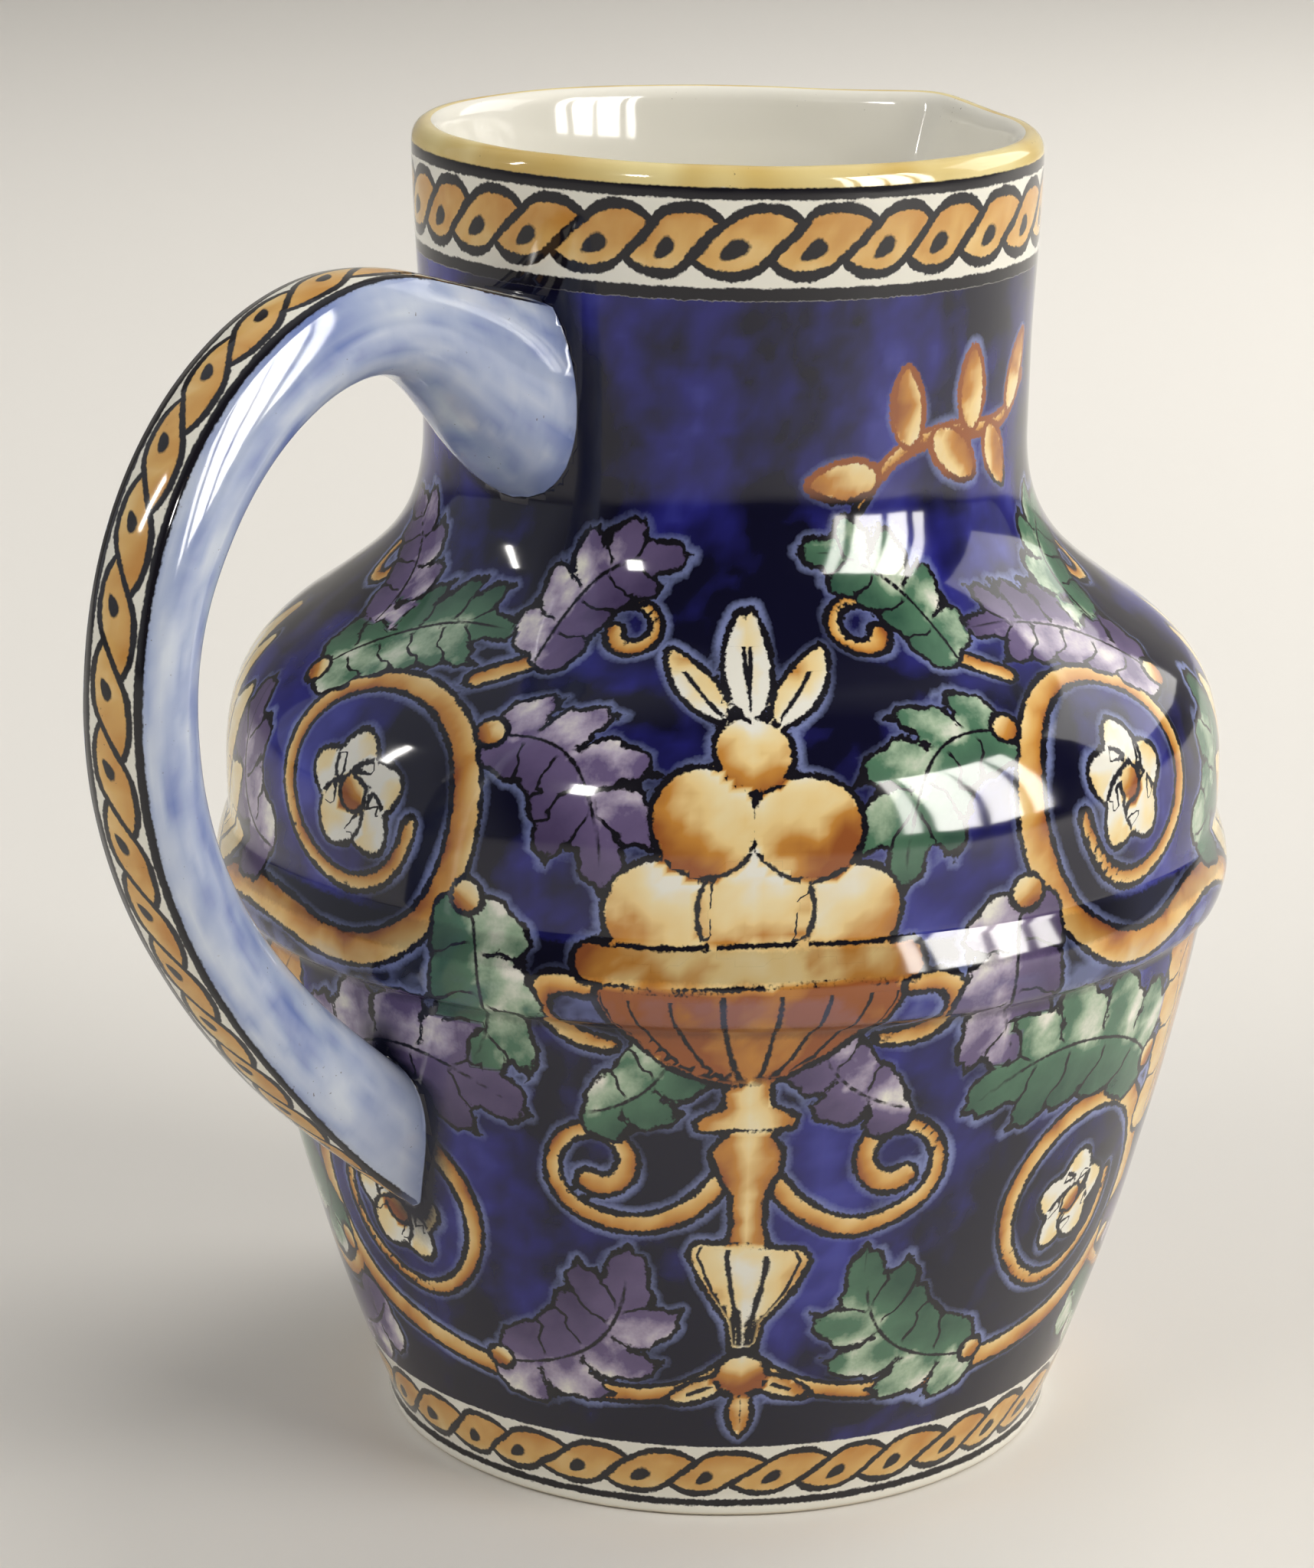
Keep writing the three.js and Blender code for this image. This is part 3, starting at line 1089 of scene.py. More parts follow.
    def floor(self) -> None:
        """Lays a plain pale floor that sweeps up behind the jug."""
        bm = bmesh.new()
        far = Vector((-math.sin(self.camera.turn), math.cos(self.camera.turn), 0))
        side = Vector((far.y, -far.x, 0))
        line = [(self.FLOOR_NEAR, 0.0), (self.FLOOR_FAR, 0.0)]
        for a in np.linspace(0, math.pi / 2, 12)[1:]:
            line.append((self.FLOOR_FAR + self.SWEEP * math.sin(a), self.SWEEP - self.SWEEP * math.cos(a)))
        line.append((self.FLOOR_FAR + self.SWEEP, self.WALL_TOP))
        rows = [
            [
                bm.verts.new(far * run + side * across + Vector((0, 0, rise)))
                for across in (-self.FLOOR_SIDE, self.FLOOR_SIDE)
            ]
            for run, rise in line
        ]
        for one, two in zip(rows, rows[1:]):
            bm.faces.new((one[0], one[1], two[1], two[0]))
        for face in bm.faces:
            face.smooth = True
        made = SkinBuilder.linked("floor", bm)
        # Matt coated paper: it scatters light evenly and mirrors nothing, so it stays plain.
        material = bpy.data.materials.new("matt_paper")
        material.use_nodes = True
        shader = material.node_tree.nodes["Principled BSDF"]
        shader.inputs["Base Color"].default_value = linear(Hue.FLOOR)
        shader.inputs["Roughness"].default_value = self.PAPER_ROUGHNESS
        made.data.materials.append(material)


Spot = Tuple[float, float]


@dataclass
class Stroke:
    """A brush stroke along a line, with a half width at each point."""

    line: np.ndarray
    half: np.ndarray

    @staticmethod
    def along(points: np.ndarray, widths: Sequence[float], spacing: float = 1.2) -> "Stroke":
        """A stroke whose half width runs evenly through some values.

        Args:
            points: The line.
            widths: Half widths from its start to its end.
            spacing: Distance between points.

        Returns:
            The stroke.
        """
        line = spaced(np.asarray(points, float), spacing)
        run = lengths(line) / max(lengths(line)[-1], 1e-6)
        return Stroke(line, np.interp(run, np.linspace(0, 1, len(widths)), widths))

    def measure(self, points: np.ndarray) -> Tuple[np.ndarray, np.ndarray, np.ndarray]:
        """Where points lie against the stroke.

        Args:
            points: Points on the unrolled surface.

        Returns:
            Distance outside the stroke's edge; distance to the left of its line; and share
            of its length.
        """
        start = self.line[:-1]
        step = np.diff(self.line, axis=0)
        length2 = np.maximum((step ** 2).sum(axis=1), 1e-9)
        rest = points[:, None, :] - start[None]
        t = np.clip((rest * step[None]).sum(axis=2) / length2, 0, 1)
        off = rest - t[..., None] * step[None]
        half = self.half[:-1] + (self.half[1:] - self.half[:-1]) * t
        distance = np.sqrt((off ** 2).sum(axis=2))
        index = np.argmin(distance - half, axis=1)
        rows = np.arange(len(points))
        side = step[index, 0] * off[rows, index, 1] - step[index, 1] * off[rows, index, 0]
        signed = np.copysign(distance[rows, index], side)
        share = (index + t[rows, index]) / len(start)
        return (distance - half)[rows, index], signed, share


class Tint(Enum):
    """What a leaf is washed with."""

    GREEN = 0.0
    PURPLE = 1.0
    OCHRE = 2.0


@dataclass
class Leaf:
    """A scalloped leaf: a midrib with broad pointed lobes on both sides.

    Its wash is stronger on the left of the midrib where lit is above 0.
    """

    base: Spot
    bend: Spot
    tip: Spot
    width: float
    tint: Tint
    lobes: int = 4
    lit: float = 1.0
    tooth: float = 0.7

    def midrib(self) -> np.ndarray:
        """The line from the base to the tip."""
        return bezier([self.base, self.bend, self.tip], 24)

    def strokes(self) -> Tuple[Stroke, List[List[Stroke]]]:
        """The body along the midrib, and the lobes of each side.

        Returns:
            The body's stroke, and a list of lobes for the left and the right.
        """
        rib = self.midrib()
        run = lengths(rib)
        w = self.width
        body = Stroke.along(rib, [0.13 * w, 0.17 * w, 0.14 * w, 0.08 * w, 0.02 * w])
        thick = 0.5 * run[-1] / self.lobes
        sides: List[List[Stroke]] = []
        for sign in (1.0, -1.0):
            side = []
            for k in range(self.lobes):
                share = 0.05 + 0.76 * (k + 0.3 * (sign < 0)) / self.lobes
                at = run[-1] * share
                root = np.array([np.interp(at, run, rib[:, j]) for j in (0, 1)])
                ahead = np.array([np.interp(at + 0.5, run, rib[:, j]) for j in (0, 1)]) - root
                ahead /= max(np.linalg.norm(ahead), 1e-6)
                out = np.array([-ahead[1], ahead[0]]) * sign
                reach = w * (0.4 + 0.72 * math.sin(math.pi * (0.2 + 0.7 * share)))
                lobe = bezier([
                    root,
                    root + out * 0.72 * reach + ahead * 0.08 * reach,
                    root + out * 0.96 * reach + ahead * 0.82 * reach,
                ], 6)
                widths = [0.5 * thick, 0.85 * thick, 0.7 * thick, 0.36 * thick, 0.02]
                side.append(Stroke.along(lobe, widths, 0.9))
            sides.append(side)
        end = rib[rib.shape[0] * 7 // 10:]
        sides[0].append(Stroke.along(end, [0.4 * thick, 0.8 * thick, 0.6 * thick, 0.05], 0.9))
        return body, sides


@dataclass
class Mass:
    """A rounded form such as a fruit, a petal or a bowl, shaded from white to brown."""

    distance: Callable[[np.ndarray], np.ndarray]
    tone: Callable[[np.ndarray], np.ndarray]
    line: Callable[[np.ndarray], np.ndarray]
    box: Tuple[float, float, float, float]


def ball(x: float, y: float, radius: float, tone: float) -> Mass:
    """A round fruit or bead, lit from the upper left.

    Args:
        x: Centre across.
        y: Centre up.
        radius: Radius.
        tone: Middle tone, from 0 for white to 1 for brown.

    Returns:
        The mass.
    """
    def offset(p: np.ndarray) -> np.ndarray:
        """Place from the centre."""
        return p - np.array([x, y])

    return Mass(
        lambda p: np.linalg.norm(offset(p), axis=1) - radius,
        lambda p: tone + 0.42 * (offset(p) @ np.array([0.62, -0.78])) / radius,
        lambda p: np.full(len(p), Painter.NO_LINE),
        (x - radius, y - radius, x + radius, y + radius),
    )


def petal(
    x: float, y: float, angle: float, length: float, width: float, tone: float, vein: float = 0.72,
) -> Mass:
    """A pointed petal that springs from a place at an angle.

    Args:
        x: Root across.
        y: Root up.
        angle: Direction in degrees, 90 upward.
        length: Length.
        width: Greatest width.
        tone: Middle tone.
        vein: Share of the length that has a line along its middle.

    Returns:
        The mass.
    """
    a = math.radians(angle)
    ahead = np.array([math.cos(a), math.sin(a)])
    line = np.array([x, y]) + ahead * np.linspace(0, length, 12)[:, None]
    share = np.linspace(0, 1, 12)
    half = width / 2 * np.sin(math.pi * share ** 0.8) ** 0.75
    stroke = Stroke(line[:-1], np.maximum(half[:-1] - 0.1, 0.05))
    low, high = line.min(axis=0) - width / 2, line.max(axis=0) + width / 2

    def tones(p: np.ndarray) -> np.ndarray:
        """Darker on the left of the middle and toward the tip."""
        _, signed, along = stroke.measure(p)
        return tone + 0.45 * signed / width + 0.35 * (along - 0.6)

    return Mass(
        lambda p: stroke.measure(p)[0], tones,
        lambda p: np.where(stroke.measure(p)[2] < vein, stroke.measure(p)[1], Painter.NO_LINE),
        (low[0], low[1], high[0], high[1]),
    )


def turned_form(outline: Sequence[Tuple[float, float]], x: float, ribs: int, tone: float) -> Mass:
    """A turned form such as a bowl or a stem, ribbed and lit from the left.

    Args:
        outline: Height and half width from the bottom to the top.
        x: Where its axis is.
        ribs: Number of ribs across, or 0.
        tone: Middle tone.

    Returns:
        The mass.
    """
    o = np.asarray(outline, float)
    widest = o[:, 1].max()
    right = np.stack([x + o[:, 1], o[:, 0]], axis=1)
    left = np.stack([x - o[:, 1], o[:, 0]], axis=1)[::-1]
    loop = np.concatenate([right, left, right[:1]])

    def half(p: np.ndarray) -> np.ndarray:
        """Half width at each point's height."""
        return np.interp(p[:, 1], o[:, 0], o[:, 1])

    def distance(p: np.ndarray) -> np.ndarray:
        """Distance outside the outline."""
        gap = Stroke(loop, np.zeros(len(loop))).measure(p)[0]
        within = (np.abs(p[:, 0] - x) < half(p)) & (p[:, 1] > o[0, 0]) & (p[:, 1] < o[-1, 0])
        return np.where(within, -gap, gap)

    def across(p: np.ndarray) -> np.ndarray:
        """Place across, from -1 at the left edge to 1 at the right."""
        return np.clip((p[:, 0] - x) / np.maximum(half(p), 0.3), -1, 1)

    def line(p: np.ndarray) -> np.ndarray:
        """Distance from the nearest rib."""
        if not ribs:
            return np.full(len(p), Painter.NO_LINE)
        turn = np.arcsin(across(p) * 0.98) / math.pi + 0.5
        return np.sin(math.pi * ribs * turn) * half(p) / ribs * 0.9

    return Mass(
        distance, lambda p: tone + 0.38 * across(p), line,
        (x - widest, o[0, 0], x + widest, o[-1, 0]),
    )


def spiral(
    centre: Tuple[float, float], start: float, turns: float, wide: float, tight: float,
) -> np.ndarray:
    """A spiral from its wide start to its tight end.

    Args:
        centre: Its centre.
        start: Angle of the start, in degrees.
        turns: Turns, above 0 counter-clockwise.
        wide: Radius at the start.
        tight: Radius at the end.

    Returns:
        Its points.
    """
    t = np.linspace(0, 1, 90)
    angle = math.radians(start) + 2 * math.pi * turns * t
    radius = wide + (tight - wide) * t ** 0.85
    return np.stack([centre[0] + radius * np.cos(angle), centre[1] + radius * np.sin(angle)], axis=1)


def scroll(
    start: Tuple[float, float], lead: Tuple[float, float], centre: Tuple[float, float],
    angle: float, turns: float, wide: float, tight: float,
) -> np.ndarray:
    """A stem that leaves a place, swings over and winds into a spiral.

    Args:
        start: Where it leaves.
        lead: First control point.
        centre: Centre of the spiral.
        angle: Where the spiral starts, in degrees.
        turns: Turns of the spiral.
        wide: Its outer radius.
        tight: Its inner radius.

    Returns:
        Its points.
    """
    coil = spiral(centre, angle, turns, wide, tight)
    ahead = coil[1] - coil[0]
    ahead /= np.linalg.norm(ahead)
    entry = bezier([start, lead, tuple(coil[0] - ahead * wide * 0.8), tuple(coil[0])], 30)
    return joined([entry, coil])


class Ornament:
    """One stretch of the painting between two of its upright axes, on the unrolled pot.

    Across, 0 is the axis of a vase and SPAN that of a palmette. Up, 0 is the top of the foot
    band. Both are in millimetres at the belly.
    """

    SPAN = 45.0 * math.pi / 2
    FAR = 4.0

    def __init__(self, swapped: bool) -> None:
        """Draws the stretch.

        Args:
            swapped: Whether green and purple leaves change places and the neck has no twig.
        """
        self.swapped = swapped
        self.stems: List[Stroke] = []
        self.leaves: List[Leaf] = []
        self.masses: List[Mass] = []
        self.draw_scrolls()
        self.draw_leaves()
        self.draw_vase()
        self.draw_palmette(self.SPAN)
        if not swapped:
            self.draw_neck_sprig()

    def stem(self, points: np.ndarray, *widths: float) -> None:
        """Adds an ochre stem along a line, with half widths from its start to its end."""
        self.stems.append(Stroke.along(points, widths))

    def leaf(
        self, base: Spot, bend: Spot, tip: Spot, width: float, tint: Tint, lobes: int = 4, lit: float = 1.0,
    ) -> None:
        """Adds a leaf, with green and purple exchanged in a swapped stretch."""
        other = {Tint.GREEN: Tint.PURPLE, Tint.PURPLE: Tint.GREEN, Tint.OCHRE: Tint.OCHRE}
        self.leaves.append(Leaf(base, bend, tip, width, other[tint] if self.swapped else tint, lobes, lit))

    def rosette(self, x: float, y: float, radius: float) -> None:
        """Adds a small flower of five petals.

        Args:
            x: Centre across.
            y: Centre up.
            radius: Its radius.
        """
        for k in range(5):
            self.masses.append(petal(x, y, 18 + 72 * k, radius, radius * 0.95, 0.2, 0.0))
        self.masses.append(ball(x, y, radius * 0.28, 0.75))

    def draw_scrolls(self) -> None:
        """The two large scrolls with their flowers, and the finer shoots."""
        swell = (0.9, 1.35, 1.6, 1.5, 1.2, 0.9, 0.7)
        self.stem(scroll((1.0, 13.0), (10, 3.5), (38, 25.5), -86, 1.28, 14.8, 7.0), *swell)
        self.stem(scroll((69.5, 40.0), (64, 55), (37, 68.0), -64, -1.28, 14.6, 7.0), *swell)
        self.stem(bezier([(49, 15.5), (57, 7), (62, 17), (70.2, 13)], 24), 1.1, 1.0, 0.8)
        self.stem(scroll((1.5, 36), (6, 28), (13.5, 36), -75, 1.05, 5.6, 2.0), 1.0, 1.1, 0.9, 0.8, 1.3)
        self.stem(scroll((29, 81), (23, 86), (14, 90), 10, 0.95, 5.0, 2.0), 1.1, 1.0, 0.8, 1.2)
        self.stem(scroll((45, 81), (51, 87), (58, 92), 170, -0.95, 5.0, 2.0), 1.1, 1.0, 0.8, 1.2)
        self.stem(bezier([(13.5, 54.5), (19.5, 56), (19, 48), (11.5, 48.5)], 20), 0.8, 1.1, 0.7)
        self.rosette(37.9, 25.6, 5.4)
        self.rosette(36.9, 67.8, 5.4)

    def draw_leaves(self) -> None:
        """The leaves that sheathe the stems."""
        self.leaf((27, 9.5), (13, 9), (11.5, 27), 5.6, Tint.GREEN, 4, -1.0)
        self.leaf((51, 17), (62, 20), (62.5, 39), 5.8, Tint.PURPLE, 4, 1.0)
        self.leaf((46, 39), (34, 49), (20, 40.5), 6.0, Tint.GREEN, 4, 1.0)
        self.leaf((52.5, 31), (56, 43), (47, 51), 4.2, Tint.OCHRE, 3, -1.0)
        self.leaf((47, 10.5), (56, 0.0), (66, 6.5), 4.0, Tint.GREEN, 3, 1.0)
        self.leaf((14, 41.5), (6, 43), (5.5, 52), 3.4, Tint.PURPLE, 3, 1.0)
        self.leaf((50, 76), (44, 89), (27, 88), 6.2, Tint.PURPLE, 5, -1.0)
        self.leaf((24, 60), (20, 50), (26, 44), 4.4, Tint.PURPLE, 3, 1.0)
        self.leaf((24.5, 75), (13, 78), (12.5, 62), 5.0, Tint.GREEN, 4, 1.0)
        self.leaf((50, 60), (59, 60), (56.5, 74), 4.6, Tint.GREEN, 3, -1.0)
        self.leaf((24, 85), (23, 101), (7, 101), 4.8, Tint.GREEN, 4, 1.0)
        self.leaf((49, 84), (49, 100), (65, 101), 4.8, Tint.GREEN, 4, -1.0)
        for x, y in ((27, 9.8), (51, 17.2), (46.6, 39), (50, 76.4), (24, 60.4), (24.5, 75.4)):
            self.masses.append(ball(x, y, 1.6, 0.6))

    def draw_vase(self) -> None:
        """The vase of fruit on the axis at 0, with what stands under and over it."""
        add = self.masses.append
        add(petal(0, 8.5, -90, 7, 3.6, 0.6))
        add(petal(1.5, 10.5, -25, 8, 3.2, 0.5))
        add(ball(0, 11.0, 2.9, 0.6))
        add(turned_form([(14.5, 1.4), (18, 1.8), (22, 4.4), (26, 6.0), (27.4, 5.0)], 0, 5, 0.16))
        add(turned_form([(27.4, 2.0), (30, 1.5), (33, 1.6), (36, 3.0), (38, 3.2), (40, 1.6)], 0, 0, 0.5))
        add(turned_form([(40, 4.2), (41.4, 4.4), (42.6, 2.0), (45, 1.9)], 0, 0, 0.35))
        add(turned_form([(45, 2.6), (47, 7.0), (50, 10.8), (53.5, 12.8), (55, 13.0)], 0, 9, 0.72))
        add(ball(8.0, 61.0, 4.6, 0.44))
        add(ball(0, 61.5, 5.0, 0.3))
        add(ball(4.5, 68.6, 4.5, 0.56))
        add(ball(0, 75.0, 3.8, 0.4))
        add(turned_form([(55, 14.0), (56, 14.8), (57.6, 14.6), (58.4, 13.8)], 0, 0, 0.4))
        add(petal(2.6, 78.0, 58, 12, 4.6, 0.36))
        add(petal(0, 78.0, 90, 16, 5.2, 0.24))

    def draw_palmette(self, x: float) -> None:
        """The palmette on the other axis.

        Args:
            x: Where the axis is.
        """
        add = self.masses.append
        add(ball(x, 8.0, 2.4, 0.6))
        add(petal(x, 11.0, 140, 9, 4.2, 0.5, 0.0))
        add(petal(x, 11.0, 90, 12, 4.6, 0.3))
        stand = [(20, 2.4), (24, 1.5), (32, 1.6), (37, 3.4), (39, 3.6), (41, 1.6), (50, 1.5)]
        add(turned_form(stand, x, 0, 0.5))
        for angle, length in ((165, 14), (143, 17), (121, 21), (103, 24)):
            add(petal(x, 55, angle, length, 6.6, 0.3, 0.0))
        add(petal(x, 55, 90, 27, 7.0, 0.22))
        add(ball(x - 5.0, 53.0, 2.4, 0.7))
        add(turned_form([(49, 3.0), (51, 4.8), (55.5, 5.4), (58, 3.4)], x, 0, 0.66))

    def draw_neck_sprig(self) -> None:
        """The small ochre twig on the neck, with leaves on both sides of it."""
        twig = bezier([(17, 106), (28, 125), (38, 108), (54, 121)], 24)
        self.stem(twig, 0.7, 1.0, 1.1, 1.0, 0.7)
        buds = ((2, 178, 11), (6, 98, 12), (9, -38, 11), (14, 84, 12), (17, -62, 11), (21, 62, 12))
        for place, angle, length in buds:
            x, y = twig[place]
            self.masses.append(petal(x, y, angle, length, 6.0, 0.64, 0.0))


class Painter:
    """Lays the ornament on the pot and measures it at each point of the skin."""

    NO_LINE = 60.0
    WAVER = 0.55
    VASE_AXIS = math.radians(225)

    def __init__(self, pot: PotShape, sizes: PaintSizes, skin: np.ndarray, outside: np.ndarray) -> None:
        """Unrolls the painted points of the pot and folds them into one stretch.

        Args:
            pot: The pot.
            sizes: Levels of the painting.
            skin: Points of the skin, in millimetres.
            outside: Whether each is on the pot's outside.
        """
        self.pot = pot
        self.sizes = sizes
        self.count = len(skin)
        blue = (skin[:, 2] > sizes.foot_blue - 2) & (skin[:, 2] < sizes.blue_top + 2)
        self.chosen = np.flatnonzero(outside & blue)
        part = skin[self.chosen]
        radius = np.hypot(part[:, 0], part[:, 1])
        self.scale = radius / sizes.unit_radius
        turn = np.arctan2(part[:, 1], part[:, 0])
        up = self.unrolled_height(part[:, 2])
        sway = 0.55 * np.sin(5 * turn + up / 9.0) + 0.45 * np.sin(11 * turn - up / 6.5 + 1.3)
        lift = 0.55 * np.sin(7 * turn - up / 8.0 + 0.6) + 0.4 * np.cos(13 * turn + up / 7.0)
        past = np.mod(turn - self.VASE_AXIS, math.pi)
        self.swapped = past > math.pi / 2
        folded = np.where(self.swapped, math.pi - past, past)
        flat = np.stack([folded * sizes.unit_radius, up], axis=1)
        self.points = flat + np.stack([sway, lift], axis=1) * self.WAVER

    def unrolled_height(self, level: np.ndarray) -> np.ndarray:
        """Height on the unrolled pot, stretched as the turn is, so that round stays round.

        Args:
            level: Heights above the table.

        Returns:
            Heights on the unrolled pot.
        """
        line = spaced(self.pot.line, 0.5)
        run = np.diff(lengths(line))
        middle = (line[1:, 0] + line[:-1, 0]) / 2
        rise = np.concatenate([[0.0], np.cumsum(run * self.sizes.unit_radius / middle)])
        start = np.interp(self.sizes.foot_blue, line[:, 1], rise)
        return np.interp(level, line[:, 1], rise) - start

    def paint(self) -> Dict[str, Tuple[np.ndarray, ...]]:
        """Measures both kinds of stretch.

        Returns:
            Attribute names with up to three arrays each.
        """
        far = Ornament.FAR
        keys = {
            "stem": (far, 0.0, self.NO_LINE), "leaf": (far, 3.0, 3.0), "leaf_tone": (0.0, 0.0, 3.0),
            "mass": (far, 0.3, 3.0), "leaf_border": (self.NO_LINE,),
        }
        out = {key: [np.full(self.count, value) for value in values] for key, values in keys.items()}
        for swapped in (False, True):
            rows = np.flatnonzero(self.swapped == swapped)
            drawn = self.measure(Ornament(swapped), self.points[rows], self.scale[rows])
            for key, values in drawn.items():
                for k, value in enumerate(values):
                    out[key][k][self.chosen[rows]] = value
        return {key: tuple(values) for key, values in out.items()}

    def measure(
        self, ornament: Ornament, points: np.ndarray, scale: np.ndarray,
    ) -> Dict[str, List[np.ndarray]]:
        """Distances from every stem, leaf and mass of one stretch.

        Args:
            ornament: The stretch.
            points: Points on the unrolled pot.
            scale: Millimetres on the pot for each millimetre unrolled.

        Returns:
            Lists of arrays for each attribute.
        """
        far = Ornament.FAR
        stem = [np.full(len(points), far), np.zeros(len(points)), np.full(len(points), self.NO_LINE)]
        for stroke in ornament.stems:
            low, high = stroke.line.min(axis=0), stroke.line.max(axis=0)
            rows = self.near(points, low, high, 2 + stroke.half.max())
            distance, signed, _ = stroke.measure(points[rows])
            half = np.maximum(np.abs(signed) - distance, 0.3)
            self.keep(stem, rows, [distance, np.clip(signed / half, -1.5, 1.5)])
        leaf = [np.full(len(points), far), np.full(len(points), 3.0), np.full(len(points), 3.0)]
        tone = [np.zeros(len(points)), np.zeros(len(points)), np.full(len(points), 3.0)]
        border = np.full(len(points), self.NO_LINE)
        for one in ornament.leaves:
            self.measure_leaf(one, points, leaf, tone, border)
        mass = [np.full(len(points), far), np.full(len(points), 0.3), np.full(len(points), 3.0)]
        for one in ornament.masses:
            low, high = np.array(one.box[:2]), np.array(one.box[2:])
            rows = self.near(points, low, high, 2.5)
            distance = one.distance(points[rows])
            before = mass[0][rows]
            edge = stem[2][rows]
            beside = np.where((before < 0) & (distance < np.abs(edge)), distance, edge)
            stem[2][rows] = np.where(distance < 0, np.where(before < 0, distance, self.NO_LINE), beside)
            mass[0][rows] = np.minimum(before, distance)
            mass[1][rows] = np.where(distance < 0.25, one.tone(points[rows]), mass[1][rows])
            mass[2][rows] = np.where(distance < 0.4, one.line(points[rows]), mass[2][rows])
        for values in (stem, leaf, mass):
            values[0] *= scale
            values[2] *= scale
        leaf[1] *= scale
        drawn = {"stem": stem, "leaf": leaf, "leaf_tone": tone, "mass": mass}
        return {**drawn, "leaf_border": [border * scale]}

    def measure_leaf(
        self, one: Leaf, points: np.ndarray, leaf: List[np.ndarray], tone: List[np.ndarray],
        border: np.ndarray,
    ) -> None:
        """Adds one leaf to what is known of the leaves.

        Args:
            one: The leaf.
            points: Points on the unrolled pot.
            leaf: Distance outside, place across the midrib, and place between lobes.
            tone: Strength of the wash, its tint and distance outside the body.
            border: Distance from where one leaf lies over another.
        """
        body, sides = one.strokes()
        rib = one.midrib()
        reach = one.width * 1.5
        rows = self.near(points, rib.min(axis=0), rib.max(axis=0), reach + 2)
        part = points[rows]
        distance, signed, share = body.measure(part)
        groups = [np.full(len(part), 9.0), np.full(len(part), 9.0)]
        toward_tip = np.zeros(len(part))
        nearest = np.full(len(part), 9.0)
        for side in sides:
            for k, lobe in enumerate(side):
                gap, _, along = lobe.measure(part)
                toward_tip = np.where(gap < nearest, along, toward_tip)
                nearest = np.minimum(nearest, gap)
                tooth = one.tooth * np.mod(along * 2.6, 1.0)
                groups[k % 2] = np.minimum(groups[k % 2], gap - tooth + one.tooth / 2)
        whole = np.minimum(distance, np.minimum(*groups))
        turned = np.clip(signed / (0.7 * one.width), -1, 1)
        strength = 0.59 + 0.2 * one.lit * turned + 0.4 * (toward_tip - 0.4) + 0.1 * (share - 0.5)
        before = leaf[0][rows]
        lapped = np.where(before < 0, 0.7 * (before - whole), self.NO_LINE)
        border[rows] = np.where(whole < 0, lapped, border[rows])
        values = [whole, signed, groups[0] - groups[1]]
        closer = self.keep(leaf, rows, values)
        for k, value in enumerate([strength, np.full(len(part), one.tint.value), distance]):
            tone[k][rows] = np.where(closer, value, tone[k][rows])

    @staticmethod
    def near(points: np.ndarray, low: np.ndarray, high: np.ndarray, margin: float) -> np.ndarray:
        """Rows of the points that lie within a box and its margin."""
        return np.flatnonzero(((points > low - margin) & (points < high + margin)).all(axis=1))

    @staticmethod
    def keep(values: List[np.ndarray], rows: np.ndarray, new: List[np.ndarray]) -> np.ndarray:
        """Takes new values where their first one is lower.

        Args:
            values: What is known.
            rows: The rows that are tried.
            new: Values for those rows.

        Returns:
            Where the new values were lower.
        """
        closer = new[0] < values[0][rows]
        for k, value in enumerate(new):
            values[k][rows] = np.where(closer, value, values[k][rows])
        return closer


Value = Union[bpy.types.NodeSocket, Hue, float, Tuple[float, ...]]


class Washes:
    """The painter's washes, each as the places and colours of a ramp."""

    COBALT = (
        (0.455, Hue.COBALT_DEEP), (0.52, Hue.COBALT), (0.59, Hue.COBALT_BRIGHT), (0.73, Hue.COBALT_PALE),
    )
    STEM = ((0.16, Hue.OCHRE_DEEP), (0.38, Hue.OCHRE), (0.62, Hue.BAND_OCHRE), (0.86, Hue.OCHRE_LIGHT))
    ROPE = ((0.12, Hue.OCHRE_LIGHT), (0.42, Hue.BAND_OCHRE), (0.85, Hue.OCHRE))
    GREEN_LEAF = ((0.26, Hue.WHITE), (0.38, Hue.GREEN_LIGHT), (0.5, Hue.GREEN), (0.95, Hue.GREEN_DEEP))
    PURPLE_LEAF = ((0.26, Hue.WHITE), (0.38, Hue.PURPLE_LIGHT), (0.5, Hue.PURPLE), (0.95, Hue.PURPLE_DEEP))
    OCHRE_LEAF = ((0.25, Hue.OCHRE_LIGHT), (0.5, Hue.BAND_OCHRE), (0.7, Hue.OCHRE), (1.0, Hue.OCHRE_DEEP))
    ROUNDED = (
        (0.12, Hue.WHITE), (0.3, Hue.CREAM), (0.48, Hue.OCHRE_LIGHT), (0.66, Hue.OCHRE),
        (0.9, Hue.OCHRE_DEEP),
    )
    STRAP = ((0.32, Hue.HANDLE_DEEP), (0.5, Hue.HANDLE), (0.66, Hue.HANDLE_PALE))


